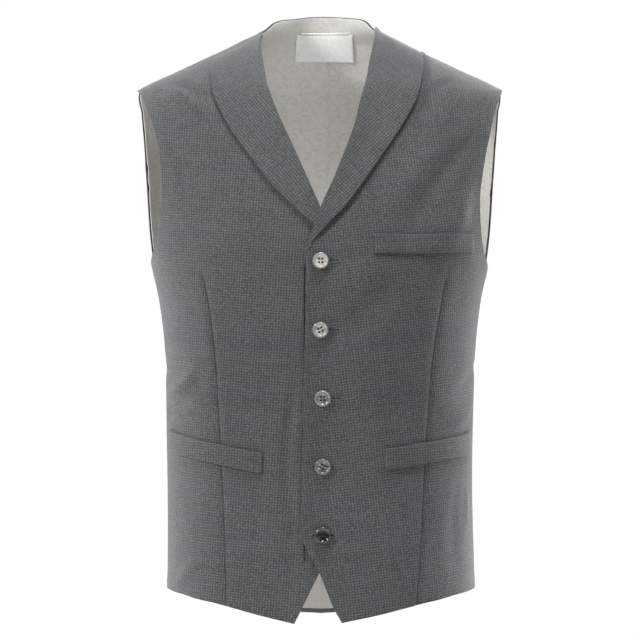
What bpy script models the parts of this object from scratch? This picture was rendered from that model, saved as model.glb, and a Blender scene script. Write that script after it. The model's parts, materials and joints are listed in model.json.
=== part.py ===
"""A five-button suit waistcoat with a shawl lapel, filled out to its worn shape with nobody in it.

Metres, +Z up, the front towards -Y and the wearer's left towards +X. The origin lies midway between
the two points where the shoulder seams meet the neck, which is where a wearer carries the garment.

The cloth follows one smooth form, a stack of squared ellipses that is 90 cm round at the
armpits and 80 cm round at the waist. A place on
the form is (angle, height): the angle runs from 0 at the centre front to +90 degrees at the wearer's
left side and 180 at the centre back, and is negative on the wearer's right. Every panel is a wall
between two sheets of points on the form, moved in or out along the form's normal.
"""

import bmesh
import bpy
import numpy as np
from mathutils import Matrix, Vector

MM = 0.001
DEGREE = np.pi / 180

FRONT_WALL = 1.5 * MM  # outer cloth, canvas and lining of a front
BACK_WALL = 1.0 * MM
LINING_WALL = 1.0 * MM
LAPEL_WALL = 1.5 * MM
WELT_WALL = 1.4 * MM
LABEL_WALL = 1.0 * MM
SEAM_GAP = 0.4 * MM  # between neighbours that are sewn together
LAYER_GAP = 0.5 * MM  # between layers that follow the same points
LINING_GAP = 0.6 * MM
TRIM_GAP = 0.6 * MM  # between a panel and a piece with finer facets on it
LABEL_GAP = 0.9 * MM  # wide enough for the coarse facets inside the neck
LINING_INSET = 1.2 * MM  # the lining stops this far inside the neck and armhole edges
LINING_HEM_INSET = 3.0 * MM
OVERLAP_LIFT = FRONT_WALL + LAYER_GAP  # how far the left front stands out over the right one
LAPEL_LIFT = LAPEL_WALL + TRIM_GAP  # how much more it stands out over the right lapel's end

BUTTON_HEIGHT = 3.0 * MM
BUTTON_SPACING = 63.1 * MM
TOP_BUTTON_HEIGHT = -217.5 * MM
BUTTON_ACROSS = (0.7, 0.4, 2.5, 2.5, 2.5)  # mm from the middle, from the top one down
BUTTONHOLE_LENGTH = 20.0 * MM
BUTTONHOLE_WIDTH = 2.6 * MM
BUTTONHOLE_MIDDLE = (7.8, 7.9, 8.2, 0.2, 0.2)  # mm from its button's middle, towards the wearer's left
SHANK_DIAMETER = 1.8 * MM
BUTTON_PROFILE = (  # from its middle on top round to its middle below: radius and height in mm
    (0, 1.9), (4.6, 1.9), (5.6, 2.7), (6.5, 3.0), (7.2, 2.6), (7.5, 1.7), (7.1, 0.7), (5.6, 0), (0, 0),
)
BUTTON_SEGMENTS = 24
THREAD_HOLE_DIAMETER = 1.7 * MM
THREAD_HOLE_SPACING = 3.2 * MM

# The form's sections: height, half width, depth in front, depth behind (mm), squareness of the ellipse.
SECTIONS = (
    (30, 43.0, 20, 50, 2.00),
    (22, 44.0, 22, 52, 2.00),
    (8, 47.5, 25, 57, 2.00),
    (3, 51.5, 28, 59, 2.00),
    (-3, 62.0, 32, 62, 2.00),
    (-8, 73.0, 36, 65, 2.03),
    (-16, 88.8, 42, 69, 2.06),
    (-27, 112.6, 50, 75, 2.10),
    (-39, 138.0, 59, 80, 2.14),
    (-50, 162.0, 67, 85, 2.18),
    (-57, 174.0, 72, 88, 2.20),
    (-70, 182.0, 79, 92, 2.23),
    (-90, 184.5, 88, 97, 2.26),
    (-120, 180.0, 99, 103, 2.30),
    (-155, 172.5, 109, 107, 2.34),
    (-190, 165.8, 117, 108, 2.38),
    (-217, 159.8, 120, 107, 2.40),
    (-263, 151.0, 119, 101, 2.40),
    (-310, 146.4, 115, 94, 2.40),
    (-363, 144.9, 110, 90, 2.40),
    (-430, 143.9, 108, 94, 2.40),
    (-524, 145.0, 109, 102, 2.40),
    (-575, 146.0, 110, 106, 2.40),
)
SHOULDER_ANGLE = 90.0
SIDE_SEAM_ANGLE = 97.0

# Front edges, from the hem tip up: (across, height) in mm for each stretch of the edge.
CUTAWAY = {
    "left": ((20.0, -550.5), (12.7, -537.3), (-0.6, -504.6), (-17.6, -473.0)),
    "right": ((-23.7, -551.5), (-16.6, -537.3), (-0.6, -504.6), (15.6, -473.0)),
}
CENTRE_FRONT = {
    "left": ((-17.6, -473.0), (-16.2, -397.0), (-14.4, -310.0), (-12.9, -240.0), (-12.5, -206.0)),
    "right": ((15.6, -473.0), (15.4, -397.0), (14.8, -310.0), (14.0, -240.0), (13.4, -204.0)),
}
ROLL_LINE = {
    "left": (
        (-12.5, -206.0), (-7.8, -193.0), (0.2, -170.5), (11.7, -145.0), (19.1, -126.5), (30.3, -97.4),
        (39.0, -63.3), (45.5, -33.2), (49.6, -12.0), (50.4, -1.5),
    ),
    "right": (
        (13.4, -204.0), (8.2, -190.0), (0.8, -170.0), (-11.0, -143.0), (-23.9, -114.0), (-38.9, -81.0),
        (-47.6, -58.0), (-53.0, -29.2), (-55.6, -10.0), (-54.2, -3.0),
    ),
}
LAPEL_EDGE = {
    "left": (
        (-9.8, -208.0), (-6.6, -199.5), (0.9, -190.8), (9.2, -182.1), (21.5, -169.9), (40.0, -145.0),
        (58.7, -117.6), (74.9, -93.4), (86.3, -73.2), (92.8, -55.2), (95.4, -41.0), (95.6, -27.0),
    ),
    "right": (
        (10.8, -206.0), (7.0, -197.0), (-5.3, -184.8), (-23.9, -167.3), (-44.8, -146.3), (-61.0, -125.0),
        (-73.4, -108.5), (-86.1, -89.6), (-94.9, -71.5), (-100.2, -55.1), (-101.4, -41.8), (-100.2, -27.5),
    ),
}
LAPEL_TOP_ANGLE = {"left": 86.0, "right": 72.0}  # the right lapel is set on a little before the ridge
HEM_HEIGHT = {  # round from the front tip: (angle, height)
    "left": ((21.6, -543.5), (31.3, -537.8), (42.4, -532.0), (59.3, -526.5), (80.0, -524.0), (97.0, -524.5)),
    "right": ((21.0, -544.5), (31.3, -538.0), (42.4, -532.0), (59.3, -526.5), (80.0, -524.0), (97.0, -524.5)),
}
BACK_HEM = ((97.0, -524.5), (115.0, -532.0), (137.0, -544.0), (158.0, -553.0), (180.0, -556.0))

# The dart line, from the hem up to the dart's point, and on up the cloth to the shoulder.
DART = {
    "left": (
        (89.5, -531.0), (94.6, -467.0), (99.2, -380.0), (104.1, -315.4), (111.6, -263.0), (117.2, -231.0),
    ),
    "right": (
        (-87.0, -535.0), (-88.6, -471.0), (-92.7, -384.0), (-97.5, -304.3), (-103.3, -259.0), (-109.8, -227.0),
    ),
}
ABOVE_DART = ((119.0, -190.0), (119.0, -140.0), (115.0, -90.0), (111.0, -55.0), (109.0, -39.0), (108.5, -30.0))
SHOULDER_MIDDLE_HEIGHT = -25.0
SHOULDER_REACH = -40.0  # a height on the shoulder beyond the lapels' ends
DART_GAP = 0.4 * MM

# Armhole edges as (angle, height), from the side seam round the front, and from it round the back.
ARMHOLE_FRONT = {
    "left": (
        (97.0, -227.0), (86.0, -225.0), (75.0, -218.0), (66.5, -208.5), (61.3, -194.5), (57.2, -170.0),
        (55.6, -150.0), (55.3, -131.0), (55.6, -112.0), (57.0, -92.0), (60.5, -76.0), (67.5, -63.5),
        (78.0, -57.0), (90.0, -54.3),
    ),
    "right": (
        (97.0, -222.0), (86.0, -219.5), (75.0, -213.0), (66.6, -203.0), (60.5, -186.0), (56.2, -167.0),
        (53.9, -148.0), (52.7, -128.0), (52.9, -108.0), (55.0, -89.0), (59.0, -75.0), (67.0, -62.0),
        (78.0, -57.0), (90.0, -55.2),
    ),
}
ARMHOLE_BACK = {
    "left": (
        (97.0, -227.0), (101.0, -219.0), (104.0, -206.0), (107.5, -186.0), (111.3, -158.0), (115.0, -128.0),
        (117.0, -97.0), (114.5, -74.0), (107.0, -61.0), (98.0, -55.0), (90.0, -54.3),
    ),
    "right": (
        (97.0, -222.0), (101.0, -215.0), (104.0, -203.0), (107.2, -185.0), (111.0, -158.0), (114.8, -128.0),
        (117.0, -97.0), (114.5, -75.0), (107.0, -62.0), (98.0, -56.0), (90.0, -55.2),
    ),
}
SKIRT_MARK_HEIGHT = -462.0  # where the rows of the dart line and the side pass the cutaway's corner
BACK_LEVEL = -225.0  # where the rows of the centre back pass the armhole's lowest point
NECK_POINT_HEIGHT = {"left": 3.6, "right": 2.2}
BACK_NECK = {  # from the neck point round to the centre back: (angle, height)
    "left": ((93.0, 5.5), (104.0, 10.6), (117.0, 13.7), (133.0, 15.6), (155.0, 17.4)),
    "right": ((94.0, 4.6), (104.0, 8.8), (126.0, 13.6), (149.0, 15.9), (168.0, 17.9)),
}
CENTRE_BACK = ((176.0, 18.4), (177.6, -120.0), (178.8, -300.0), (179.6, -556.0))  # the seam leans a little

# Pocket welts: (across, top edge height, bottom edge height) in mm.
WELTS = {
    "welt_left": (
        (60.4, -390.6, -410.0), (74.0, -388.6, -408.4), (96.0, -385.6, -405.0), (118.0, -382.0, -401.1),
        (138.6, -377.0, -396.0),
    ),
    "welt_right": (
        (-53.4, -393.9, -413.4), (-73.0, -390.6, -410.0), (-92.0, -387.0, -405.7), (-113.0, -382.7, -401.2),
        (-138.4, -375.0, -393.6),
    ),
    "chest_welt": (
        (49.6, -192.6, -211.2), (72.0, -192.8, -211.2), (95.0, -192.8, -210.9), (118.0, -192.4, -210.2),
        (141.0, -191.7, -209.0),
    ),
}
LABEL_WIDTH = 57.0 * MM
LABEL_LENGTH = 24.6 * MM
LABEL_CENTRE = (4.3, -12.3)  # across and height, mm
LOOP_LENGTH = 50.0 * MM
LOOP_WIDTH = 2.5 * MM
LOOP_CENTRE = (5.6, 2.6)

FRONT_COLUMNS = (8, 7)  # before and behind the dart line
EDGE_ROWS = (3, 11, 12)  # along the cutaway, the centre front and the roll line
DART_ROWS = (3, 10, 1, 12)  # up to the skirt mark, the armhole's level, the dart's point and the shoulder
SIDE_ROWS = (3, 10, 13)  # up to the skirt mark, the armhole and the shoulder
BACK_COLUMNS = 11
MIDDLE_ROWS = (11, 6, 6)  # along the centre back below and above the armhole's level, and along the neck
FLANK_ROWS = (11, 12)  # along the side seam and the armhole
SHOULDER_CROWDING = 1.6
NECK_CROWDING = 1.3
LAPEL_ROWS = 18
LAPEL_COLUMNS = 5
WELT_ROWS = 2
WELT_COLUMNS = 9
LINE_SAMPLES = 400

HEIGHTS, HALF_WIDTH, FRONT_DEPTH, BACK_DEPTH, SQUARENESS = np.array(SECTIONS[::-1], float).T


def smooth(places, values, at):
    """Reads a curve through the values that never swings past them (a monotone cubic)."""
    places, values = np.asarray(places, float), np.asarray(values, float)
    gaps = np.diff(places)
    rates = np.diff(values) / gaps
    slopes = np.concatenate(([rates[0]], np.zeros(len(rates) - 1), [rates[-1]]))
    turning = rates[:-1] * rates[1:] <= 0
    before, after = gaps[1:] + 2 * gaps[:-1], 2 * gaps[1:] + gaps[:-1]
    steady = np.where(turning, 1.0, rates[:-1]), np.where(turning, 1.0, rates[1:])
    slopes[1:-1] = np.where(turning, 0.0, (before + after) / (after / steady[0] + before / steady[1]))
    at = np.clip(at, places[0], places[-1])
    cell = np.clip(np.searchsorted(places, at) - 1, 0, len(gaps) - 1)
    gap = gaps[cell]
    share = (at - places[cell]) / gap
    return (
        values[cell] * (1 + 2 * share) * (1 - share) ** 2
        + slopes[cell] * gap * share * (1 - share) ** 2
        + values[cell + 1] * share**2 * (3 - 2 * share)
        + slopes[cell + 1] * gap * share**2 * (share - 1)
    )


def ease(value, start, end):
    """0 before start, 1 past end, and an even S between them."""
    share = np.clip((value - start) / (end - start), 0, 1)
    return share * share * (3 - 2 * share)


def on_form(angle, height):
    """Points of the form, in mm, from angles in degrees and heights in mm."""
    angle, height = np.broadcast_arrays(np.asarray(angle, float), np.asarray(height, float))
    across, ahead = np.sin(angle * DEGREE), np.cos(angle * DEGREE)
    power = smooth(HEIGHTS, SQUARENESS, height)
    reach = (np.abs(across) ** power + np.abs(ahead) ** power) ** (-1 / power)
    width = smooth(HEIGHTS, HALF_WIDTH, height)
    depth = np.where(ahead > 0, smooth(HEIGHTS, FRONT_DEPTH, height), smooth(HEIGHTS, BACK_DEPTH, height))
    return np.stack([width * reach * across, -depth * reach * ahead, height], axis=-1)


def normal_of(angle, height):
    """The form's outward normals."""
    nudge = 0.05
    round_it = on_form(angle + nudge, height) - on_form(angle - nudge, height)
    up_it = on_form(angle, height + nudge) - on_form(angle, height - nudge)
    normal = np.cross(round_it, up_it)
    return normal / np.linalg.norm(normal, axis=-1, keepdims=True)


def angle_across(across, height):
    """The angle, on the front, of the places this far across (mm)."""
    share = np.clip(np.abs(across) / smooth(HEIGHTS, HALF_WIDTH, height), 0, 1)
    power = smooth(HEIGHTS, SQUARENESS, height)
    return np.sign(across) * np.arctan2(share, (1 - share**power) ** (1 / power)) / DEGREE


def sheet_lift(side, places):
    """How far a front stands out from the form, in mm: only the left front, where it covers the right one."""
    if side == "right":
        return np.zeros(places.shape[:-1])
    across, _, height = np.moveaxis(on_form(places[..., 0], places[..., 1]), -1, 0)
    over_front = 1 - ease(across, 20, 85)
    over_lapel = ease(height, -290, -208) * (1 - ease(height, -163, -120))
    return over_front * (OVERLAP_LIFT + LAPEL_LIFT * over_lapel) / MM


def raised(places, out, lift=0.0):
    """Points, in metres, that stand out from the form by the given distance (metres) and lift (mm)."""
    angle, height = places[..., 0], places[..., 1]
    away = np.asarray(out / MM + lift)[..., None] * normal_of(angle, height)
    return (on_form(angle, height) + away) * MM


def marks_across(marks):
    """(angle, height) places of marks given as (across, height)."""
    across, height = np.array(marks, float).T
    return np.stack([angle_across(across, height), height], axis=-1)


def line_through(marks):
    """A smooth line on the form through the marks, as evenly spaced (angle, height) places."""
    marks = np.asarray(marks, float)
    along = np.concatenate(([0], np.cumsum(np.linalg.norm(np.diff(on_form(*marks.T), axis=0), axis=1))))
    fine = np.linspace(0, along[-1], 3 * LINE_SAMPLES)
    line = np.stack([smooth(along, marks[:, part], fine) for part in (0, 1)], axis=-1)
    return even(line, LINE_SAMPLES)


def even(line, count, crowding=1.0):
    """The line again, with this many places evenly spaced along it, or crowded towards its end."""
    lengths = np.concatenate(([0], np.cumsum(np.linalg.norm(np.diff(on_form(*line.T), axis=0), axis=1))))
    wanted = lengths[-1] * (1 - np.linspace(1, 0, count) ** crowding)
    return np.stack([np.interp(wanted, lengths, line[:, part]) for part in (0, 1)], axis=-1)


def stretches(lines, rows, crowding=(1.0,)):
    """One side of a grid: each line cut into its number of rows, the last of them as crowded as told."""
    crowding = [1.0] * (len(rows) - len(crowding)) + list(crowding)
    cut = [even(line, count + 1, crowd)[1:] for line, count, crowd in zip(lines, rows, crowding)]
    return np.concatenate([lines[0][:1], *cut])


def between(line, start, end, count):
    """The part of a line from one angle to another, cut evenly."""
    order = np.argsort(line[:, 0])
    angles = np.linspace(start, end, LINE_SAMPLES)
    heights = np.interp(angles, line[order, 0], line[order, 1])
    return even(np.stack([angles, heights], axis=-1), count)


def patch(low, high, start, end):
    """A grid of places inside four sides: low and high run along the columns, start and end along the rows."""
    up = np.linspace(0, 1, len(start))[:, None, None]
    along = np.linspace(0, 1, len(low))[None, :, None]
    sides = start[:, None] * (1 - along) + end[:, None] * along
    ends = low[None] * (1 - up) + high[None] * up
    low_corners = low[0] * (1 - along) + low[-1] * along
    high_corners = high[0] * (1 - along) + high[-1] * along
    return sides + ends - low_corners * (1 - up) - high_corners * up


def mirrored(places, side):
    """Places given for the wearer's left, on either side."""
    places = np.array(places, float)
    if side == "right":
        places[..., 0] *= -1
    return places


def seam_angle(height):
    """Half a seam's gap as an angle at the side of the form (degrees)."""
    return SEAM_GAP / 2 / MM / smooth(HEIGHTS, FRONT_DEPTH, height) / DEGREE


def seam_places(heights, side):
    """Places of the side seam at these heights."""
    return mirrored([(SIDE_SEAM_ANGLE, height) for height in heights], side)


def facets_of(rows, columns):
    """Corner numbers of the triangles of a grid whose points are numbered row by row, all split the same way."""
    first = (np.arange(rows - 1)[:, None] * columns + np.arange(columns - 1)[None]).reshape(-1, 1)
    return np.concatenate([first + (0, 1, columns + 1), first + (0, columns + 1, columns)])


def wall(name, outer, inner, facets, material):
    """One closed solid between two sheets of points that share their facets."""
    count = len(outer)
    sides = np.concatenate([facets[:, [k, (k + 1) % 3]] for k in range(3)])
    _, first, uses = np.unique(np.sort(sides, axis=1), axis=0, return_index=True, return_counts=True)
    rim = sides[first[uses == 1]]
    mesh = bpy.data.meshes.new(name)
    faces = [*facets.tolist(), *(facets[:, ::-1] + count).tolist()]
    faces += [[b, a, a + count, b + count] for a, b in rim.tolist()]
    mesh.from_pydata(np.concatenate([outer, inner]).tolist(), [], faces)
    tidy = bmesh.new()
    tidy.from_mesh(mesh)
    bmesh.ops.recalc_face_normals(tidy, faces=tidy.faces)
    tidy.to_mesh(mesh)
    tidy.free()
    return add(name, mesh, material)


def add(name, mesh, material):
    """An object of the garment that holds this mesh."""
    thing = bpy.data.objects.new(name, mesh)
    thing.data.materials.append(material)
    GARMENT.objects.link(thing)
    return thing


def sheet_wall(name, places, out, thick, material, lift=0.0):
    """A wall whose outer face stands out from the form by out, on a grid of places."""
    outer = raised(places, out, lift).reshape(-1, 3)
    inner = raised(places, out - thick, lift).reshape(-1, 3)
    return wall(name, outer, inner, facets_of(*places.shape[:2]), material)


def front_sides(side):
    """The four sides and the dart line of a front, as lines of places."""
    top = NECK_POINT_HEIGHT[side]
    inset = float(seam_angle(top))
    roll = np.concatenate([marks_across(ROLL_LINE[side]), mirrored([(SHOULDER_ANGLE - inset, top)], side)])
    edge = [marks_across(CUTAWAY[side]), marks_across(CENTRE_FRONT[side]), roll]
    dart = marks_across(DART[side])
    skirt = np.array([[np.interp(SKIRT_MARK_HEIGHT, dart[:, 1], dart[:, 0]), SKIRT_MARK_HEIGHT]])
    middle = np.array([(SHOULDER_ANGLE - float(seam_angle(SHOULDER_MIDDLE_HEIGHT)), SHOULDER_MIDDLE_HEIGHT)])
    upper = mirrored(np.concatenate([marks_across(ABOVE_DART), middle]), side)
    hem = np.concatenate([edge[0][:1], mirrored(HEM_HEIGHT[side], side)])
    hem_line = line_through(hem)
    order = np.argsort(hem_line[:, 0])
    foot = np.array([[dart[0, 0], np.interp(dart[0, 0], hem_line[order, 0], hem_line[order, 1])]])
    low_dart = np.concatenate([foot, skirt])
    high_dart = np.concatenate([skirt, dart[dart[:, 1] > SKIRT_MARK_HEIGHT]])
    dart_lines = [low_dart, high_dart[:-1], high_dart[-2:], np.concatenate([dart[-1:], upper])]
    arm = mirrored(ARMHOLE_FRONT[side], side)
    arm[-1] = mirrored((SHOULDER_ANGLE - float(seam_angle(arm[-1, 1])), arm[-1, 1]), side)
    side_seam = seam_places((hem[-1, 1], SKIRT_MARK_HEIGHT, -380, -300, arm[0, 1]), side)
    side_seam[:, 0] -= np.sign(side_seam[:, 0]) * seam_angle(side_seam[:, 1])
    arm[0] = side_seam[-1]
    side_lines = [side_seam[:2], side_seam[1:], arm]
    counted = (edge, EDGE_ROWS), (dart_lines, DART_ROWS), (side_lines, SIDE_ROWS)
    crowding = (SHOULDER_CROWDING,)
    cut = [stretches([line_through(marks) for marks in lines], rows, crowding) for lines, rows in counted]
    return hem_line, cut


def shoulder_line(side, start, end, sign=-1):
    """The shoulder seam between two heights, just before (-1) or behind (+1) the ridge."""
    heights = np.linspace(start, end, LINE_SAMPLES)
    angles = SHOULDER_ANGLE + sign * seam_angle(heights)
    return mirrored(np.stack([angles, heights], axis=-1), side)


def front_grid(side):
    """Grids of places before and behind the dart line, which share that line."""
    hem, (edge, dart, flank) = front_sides(side)
    low = (
        between(hem, edge[0, 0], dart[0, 0], FRONT_COLUMNS[0] + 1),
        between(hem, dart[0, 0], flank[0, 0], FRONT_COLUMNS[1] + 1),
    )
    high = (
        even(shoulder_line(side, edge[-1, 1], dart[-1, 1]), FRONT_COLUMNS[0] + 1),
        even(shoulder_line(side, dart[-1, 1], flank[-1, 1]), FRONT_COLUMNS[1] + 1),
    )
    return patch(low[0], high[0], edge, dart), patch(low[1], high[1], dart, flank)


def front_panel(side, material):
    """One front, with its dart slit open from the hem to the dart's point."""
    before, behind = front_grid(side)
    rows, columns = before.shape[:2]
    open_rows = sum(DART_ROWS[:3])
    rim = on_form(*before[:open_rows, -1].T)
    opening = np.zeros(rows)
    opening[:open_rows] = np.sign(rim[:, 0]) * DART_GAP / 2 / MM / np.hypot(rim[:, 0], rim[:, 1]) / DEGREE
    before[:, -1, 0] -= opening
    behind[:, 0, 0] += opening
    places = np.concatenate([before.reshape(-1, 2), behind.reshape(-1, 2)])
    facets = np.concatenate([facets_of(rows, columns), facets_of(*behind.shape[:2]) + rows * columns])
    joined = {rows * columns + row * behind.shape[1]: (row + 1) * columns - 1 for row in range(open_rows, rows)}
    facets = np.vectorize(lambda corner: joined.get(corner, corner))(facets)
    used, facets = np.unique(facets, return_inverse=True)
    places, facets = places[used], facets.reshape(-1, 3)
    lift = sheet_lift(side, places)
    return wall(f"front_{side}", raised(places, 0.0, lift), raised(places, -FRONT_WALL, lift), facets, material)


def back_grid(side):
    """A grid of places over one half of the back; its first column runs up the centre back and round the neck."""
    centre = np.array(CENTRE_BACK[::-1], float)
    half_gap = SEAM_GAP / 2 / MM / smooth(HEIGHTS, HALF_WIDTH, centre[:, 1]) / DEGREE
    centre[:, 0] = centre[:, 0] - half_gap if side == "left" else centre[:, 0] + half_gap - 360
    arm = mirrored(ARMHOLE_BACK[side], side)
    flank = seam_places((BACK_HEM[0][1], -450, -380, -300, arm[0, 1]), side)
    flank[:, 0] += np.sign(flank[:, 0]) * seam_angle(flank[:, 1])
    arm[0] = flank[-1]
    arm[-1, 0] += np.sign(arm[-1, 0]) * seam_angle(arm[-1, 1])
    neck_top = NECK_POINT_HEIGHT[side]
    neck_end = mirrored([(SHOULDER_ANGLE + float(seam_angle(neck_top)), neck_top)], side)
    neck = np.concatenate([centre[-1:], mirrored(BACK_NECK[side], side)[::-1], neck_end])
    whole = line_through(centre)
    level = np.argmin(np.abs(whole[:, 1] - BACK_LEVEL))
    middle = stretches([whole[: level + 1], whole[level:], line_through(neck)], MIDDLE_ROWS, (NECK_CROWDING, 1.0))
    outside = stretches([line_through(flank), line_through(arm)], FLANK_ROWS, (SHOULDER_CROWDING,))
    hem = np.concatenate([flank[:1], mirrored(BACK_HEM[1:-1], side), centre[:1]])
    top = even(shoulder_line(side, neck_top, arm[-1, 1], sign=1), BACK_COLUMNS + 1)
    return patch(even(line_through(hem)[::-1], BACK_COLUMNS + 1), top, middle, outside)


def drawn_in(edge, inside, distance):
    """An edge's places moved this far towards the places inside it."""
    steps = np.linalg.norm(on_form(inside[..., 0], inside[..., 1]) - on_form(edge[..., 0], edge[..., 1]), axis=-1)
    return edge + (inside - edge) * (distance / MM / steps)[..., None]


def lining_grid(side):
    """The back's grid with its hem, neck and armhole edges drawn in, so that the back shows round the lining."""
    places = back_grid(side)
    inner = places.copy()
    inner[0] = drawn_in(places[0], places[1], LINING_HEM_INSET)
    arm, neck = FLANK_ROWS[0], sum(MIDDLE_ROWS[:2])
    inner[arm:-1, -1] = drawn_in(places[arm:-1, -1], places[arm:-1, -2], LINING_INSET)
    inner[neck, 0] = drawn_in(places[neck, 0], places[neck - 1, 0], LINING_INSET)
    inner[neck + 1 : -1, 0] = drawn_in(places[neck + 1 : -1, 0], places[neck + 1 : -1, 1], LINING_INSET)
    return inner


def lapel_grid(side):
    """A grid of places over a lapel, from its roll line out to its edge."""
    top = NECK_POINT_HEIGHT[side]
    roll = line_through(np.concatenate([marks_across(ROLL_LINE[side]), mirrored([(SHOULDER_ANGLE, top)], side)]))
    roll = roll[np.abs(roll[:, 0]) < LAPEL_TOP_ANGLE[side]]
    edge = marks_across(LAPEL_EDGE[side])
    heights = np.linspace(0, SHOULDER_REACH, LINE_SAMPLES)
    across = on_form(LAPEL_TOP_ANGLE[side], heights)[:, 0]
    meets = np.interp(abs(LAPEL_EDGE[side][-1][0]), across, heights)
    edge = line_through(np.concatenate([edge, mirrored([(LAPEL_TOP_ANGLE[side], meets)], side)]))
    rows, columns = LAPEL_ROWS + 1, LAPEL_COLUMNS + 1
    start, end = even(roll, rows), even(edge, rows)
    low = np.linspace(start[0], end[0], columns)
    heights = np.linspace(start[-1, 1], end[-1, 1], columns)
    high = np.stack([np.full(columns, end[-1, 0]), heights], axis=-1)
    high[0] = start[-1]
    return patch(low, high, start, end)


def welt_grid(name):
    """A grid of places over a pocket welt, from its sewn edge up."""
    across, top, bottom = np.array(WELTS[name], float).T
    edges = [line_through(marks_across(np.stack([across, height], axis=-1))) for height in (bottom, top)]
    low, high = (even(edge, WELT_COLUMNS + 1) for edge in edges)
    return np.linspace(low, high, WELT_ROWS + 1)


def inside_back_grid(centre, width, length, columns, rows):
    """A grid of places over a flat piece sewn to the back's lining."""
    across = np.linspace(centre[0] - width / MM / 2, centre[0] + width / MM / 2, columns + 1)
    heights = np.linspace(centre[1] - length / MM / 2, centre[1] + length / MM / 2, rows + 1)[:, None]
    across, heights = np.broadcast_arrays(across, heights)
    share = across / smooth(HEIGHTS, HALF_WIDTH, heights)
    angles = 180 - np.arcsin(share) / DEGREE
    return np.stack([angles, heights], axis=-1)


def standing(place, out):
    """The frame of something that stands on the form at a place, with its own +Z along the form's normal."""
    normal = normal_of(*place)
    level = np.cross((0, 0, 1), normal)
    level /= np.linalg.norm(level)
    frame = np.eye(4)
    frame[:3, :3] = np.stack([level, np.cross(normal, level), normal], axis=-1)
    frame[:3, 3] = raised(np.array(place, float), out)
    return Matrix(frame.tolist())


def primitive(name, make, collection, **sizes):
    """An object from one of bmesh's primitives."""
    mesh = bpy.data.meshes.new(name)
    shape = bmesh.new()
    make(shape, **sizes)
    shape.to_mesh(mesh)
    shape.free()
    thing = bpy.data.objects.new(name, mesh)
    collection.objects.link(thing)
    return thing


def cutter(thing, scale=(1, 1, 1)):
    """Hides a helper that only cuts, with its scale applied."""
    thing.data.transform(Matrix.Diagonal((*scale, 1)))
    thing.hide_render = True
    thing.display_type = "WIRE"
    return thing


def cut_by(thing, tool):
    """Cuts a helper's shape out of an object."""
    cut = thing.modifiers.new("cut", "BOOLEAN")
    cut.operation = "DIFFERENCE"
    cut.object = tool


def button_mesh():
    """The button, turned from its profile and drilled with four thread holes; its back lies at z = 0."""
    profile = bpy.data.meshes.new("button_profile")
    outline = [(radius * MM, 0, height * MM) for radius, height in BUTTON_PROFILE]
    profile.from_pydata(outline, [(k, k + 1) for k in range(len(outline) - 1)], [])
    turned = bpy.data.objects.new("button_turned", profile)
    turned.hide_render = True
    CUTTERS.objects.link(turned)
    screw = turned.modifiers.new("turn", "SCREW")
    screw.steps = screw.render_steps = BUTTON_SEGMENTS
    screw.use_merge_vertices = True
    screw.merge_threshold = 1e-6
    for number in range(4):
        drill = primitive(
            f"drill_{number}", bmesh.ops.create_cone, CUTTERS, cap_ends=True, segments=8, depth=3 * BUTTON_HEIGHT,
            radius1=THREAD_HOLE_DIAMETER / 2, radius2=THREAD_HOLE_DIAMETER / 2,
        )
        turn = (45 + 90 * number) * DEGREE
        reach = THREAD_HOLE_SPACING / np.sqrt(2) * Vector((np.cos(turn), np.sin(turn), 0))
        drill.data.transform(Matrix.Translation(reach))
        cut_by(turned, cutter(drill))
    bpy.context.view_layer.update()
    mesh = bpy.data.meshes.new_from_object(turned.evaluated_get(bpy.context.evaluated_depsgraph_get()))
    mesh.name = "button"
    bpy.data.objects.remove(turned)
    return mesh


def fastenings(front):
    """The buttons, each on a thread shank that comes up from the right front through the left one's buttonhole."""
    mesh = button_mesh()
    for number, across in enumerate(BUTTON_ACROSS, start=1):
        height = (TOP_BUTTON_HEIGHT - (number - 1) * BUTTON_SPACING) / MM
        place = float(angle_across(across, height)), height
        seat = float(sheet_lift("left", np.array(place))) * MM + TRIM_GAP
        shank_length = seat - SEAM_GAP - LAYER_GAP
        add(f"button_{number}", mesh, HORN).matrix_world = standing(place, seat)
        shank = primitive(
            f"shank_{number}", bmesh.ops.create_cone, GARMENT, cap_ends=True, segments=10, depth=shank_length,
            radius1=SHANK_DIAMETER / 2, radius2=SHANK_DIAMETER / 2,
        )
        shank.data.materials.append(THREAD)
        shank.matrix_world = standing(place, LAYER_GAP + shank_length / 2)
        hole_across = across + BUTTONHOLE_MIDDLE[number - 1]
        slot = primitive(f"slot_{number}", bmesh.ops.create_cube, CUTTERS, size=1.0)
        cutter(slot, (BUTTONHOLE_LENGTH, BUTTONHOLE_WIDTH, 4 * FRONT_WALL))
        slot.matrix_world = standing((float(angle_across(hole_across, height)), height), OVERLAP_LIFT)
        cut_by(front, slot)


def material_of(name, colour, roughness):
    """A plain material."""
    made = bpy.data.materials.new(name)
    made.use_nodes = True
    shader = made.node_tree.nodes["Principled BSDF"]
    shader.inputs["Base Color"].default_value = (*colour, 1)
    shader.inputs["Roughness"].default_value = roughness
    shader.inputs["Metallic"].default_value = 0.0
    return made


for leftover in list(bpy.data.objects):
    bpy.data.objects.remove(leftover)
GARMENT = bpy.data.collections.new("waistcoat")
CUTTERS = bpy.data.collections.new("cutters")
bpy.context.scene.collection.children.link(GARMENT)
bpy.context.scene.collection.children.link(CUTTERS)
SUITING = material_of("suiting", (0.12, 0.13, 0.135), 0.9)
BACK_SATIN = material_of("back_satin", (0.035, 0.036, 0.038), 0.5)
LINING = material_of("lining", (0.6, 0.58, 0.53), 0.45)
LABEL = material_of("label", (0.72, 0.72, 0.71), 0.4)
HORN = material_of("horn", (0.35, 0.34, 0.32), 0.25)
THREAD = material_of("thread", (0.16, 0.17, 0.18), 0.9)

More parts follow.
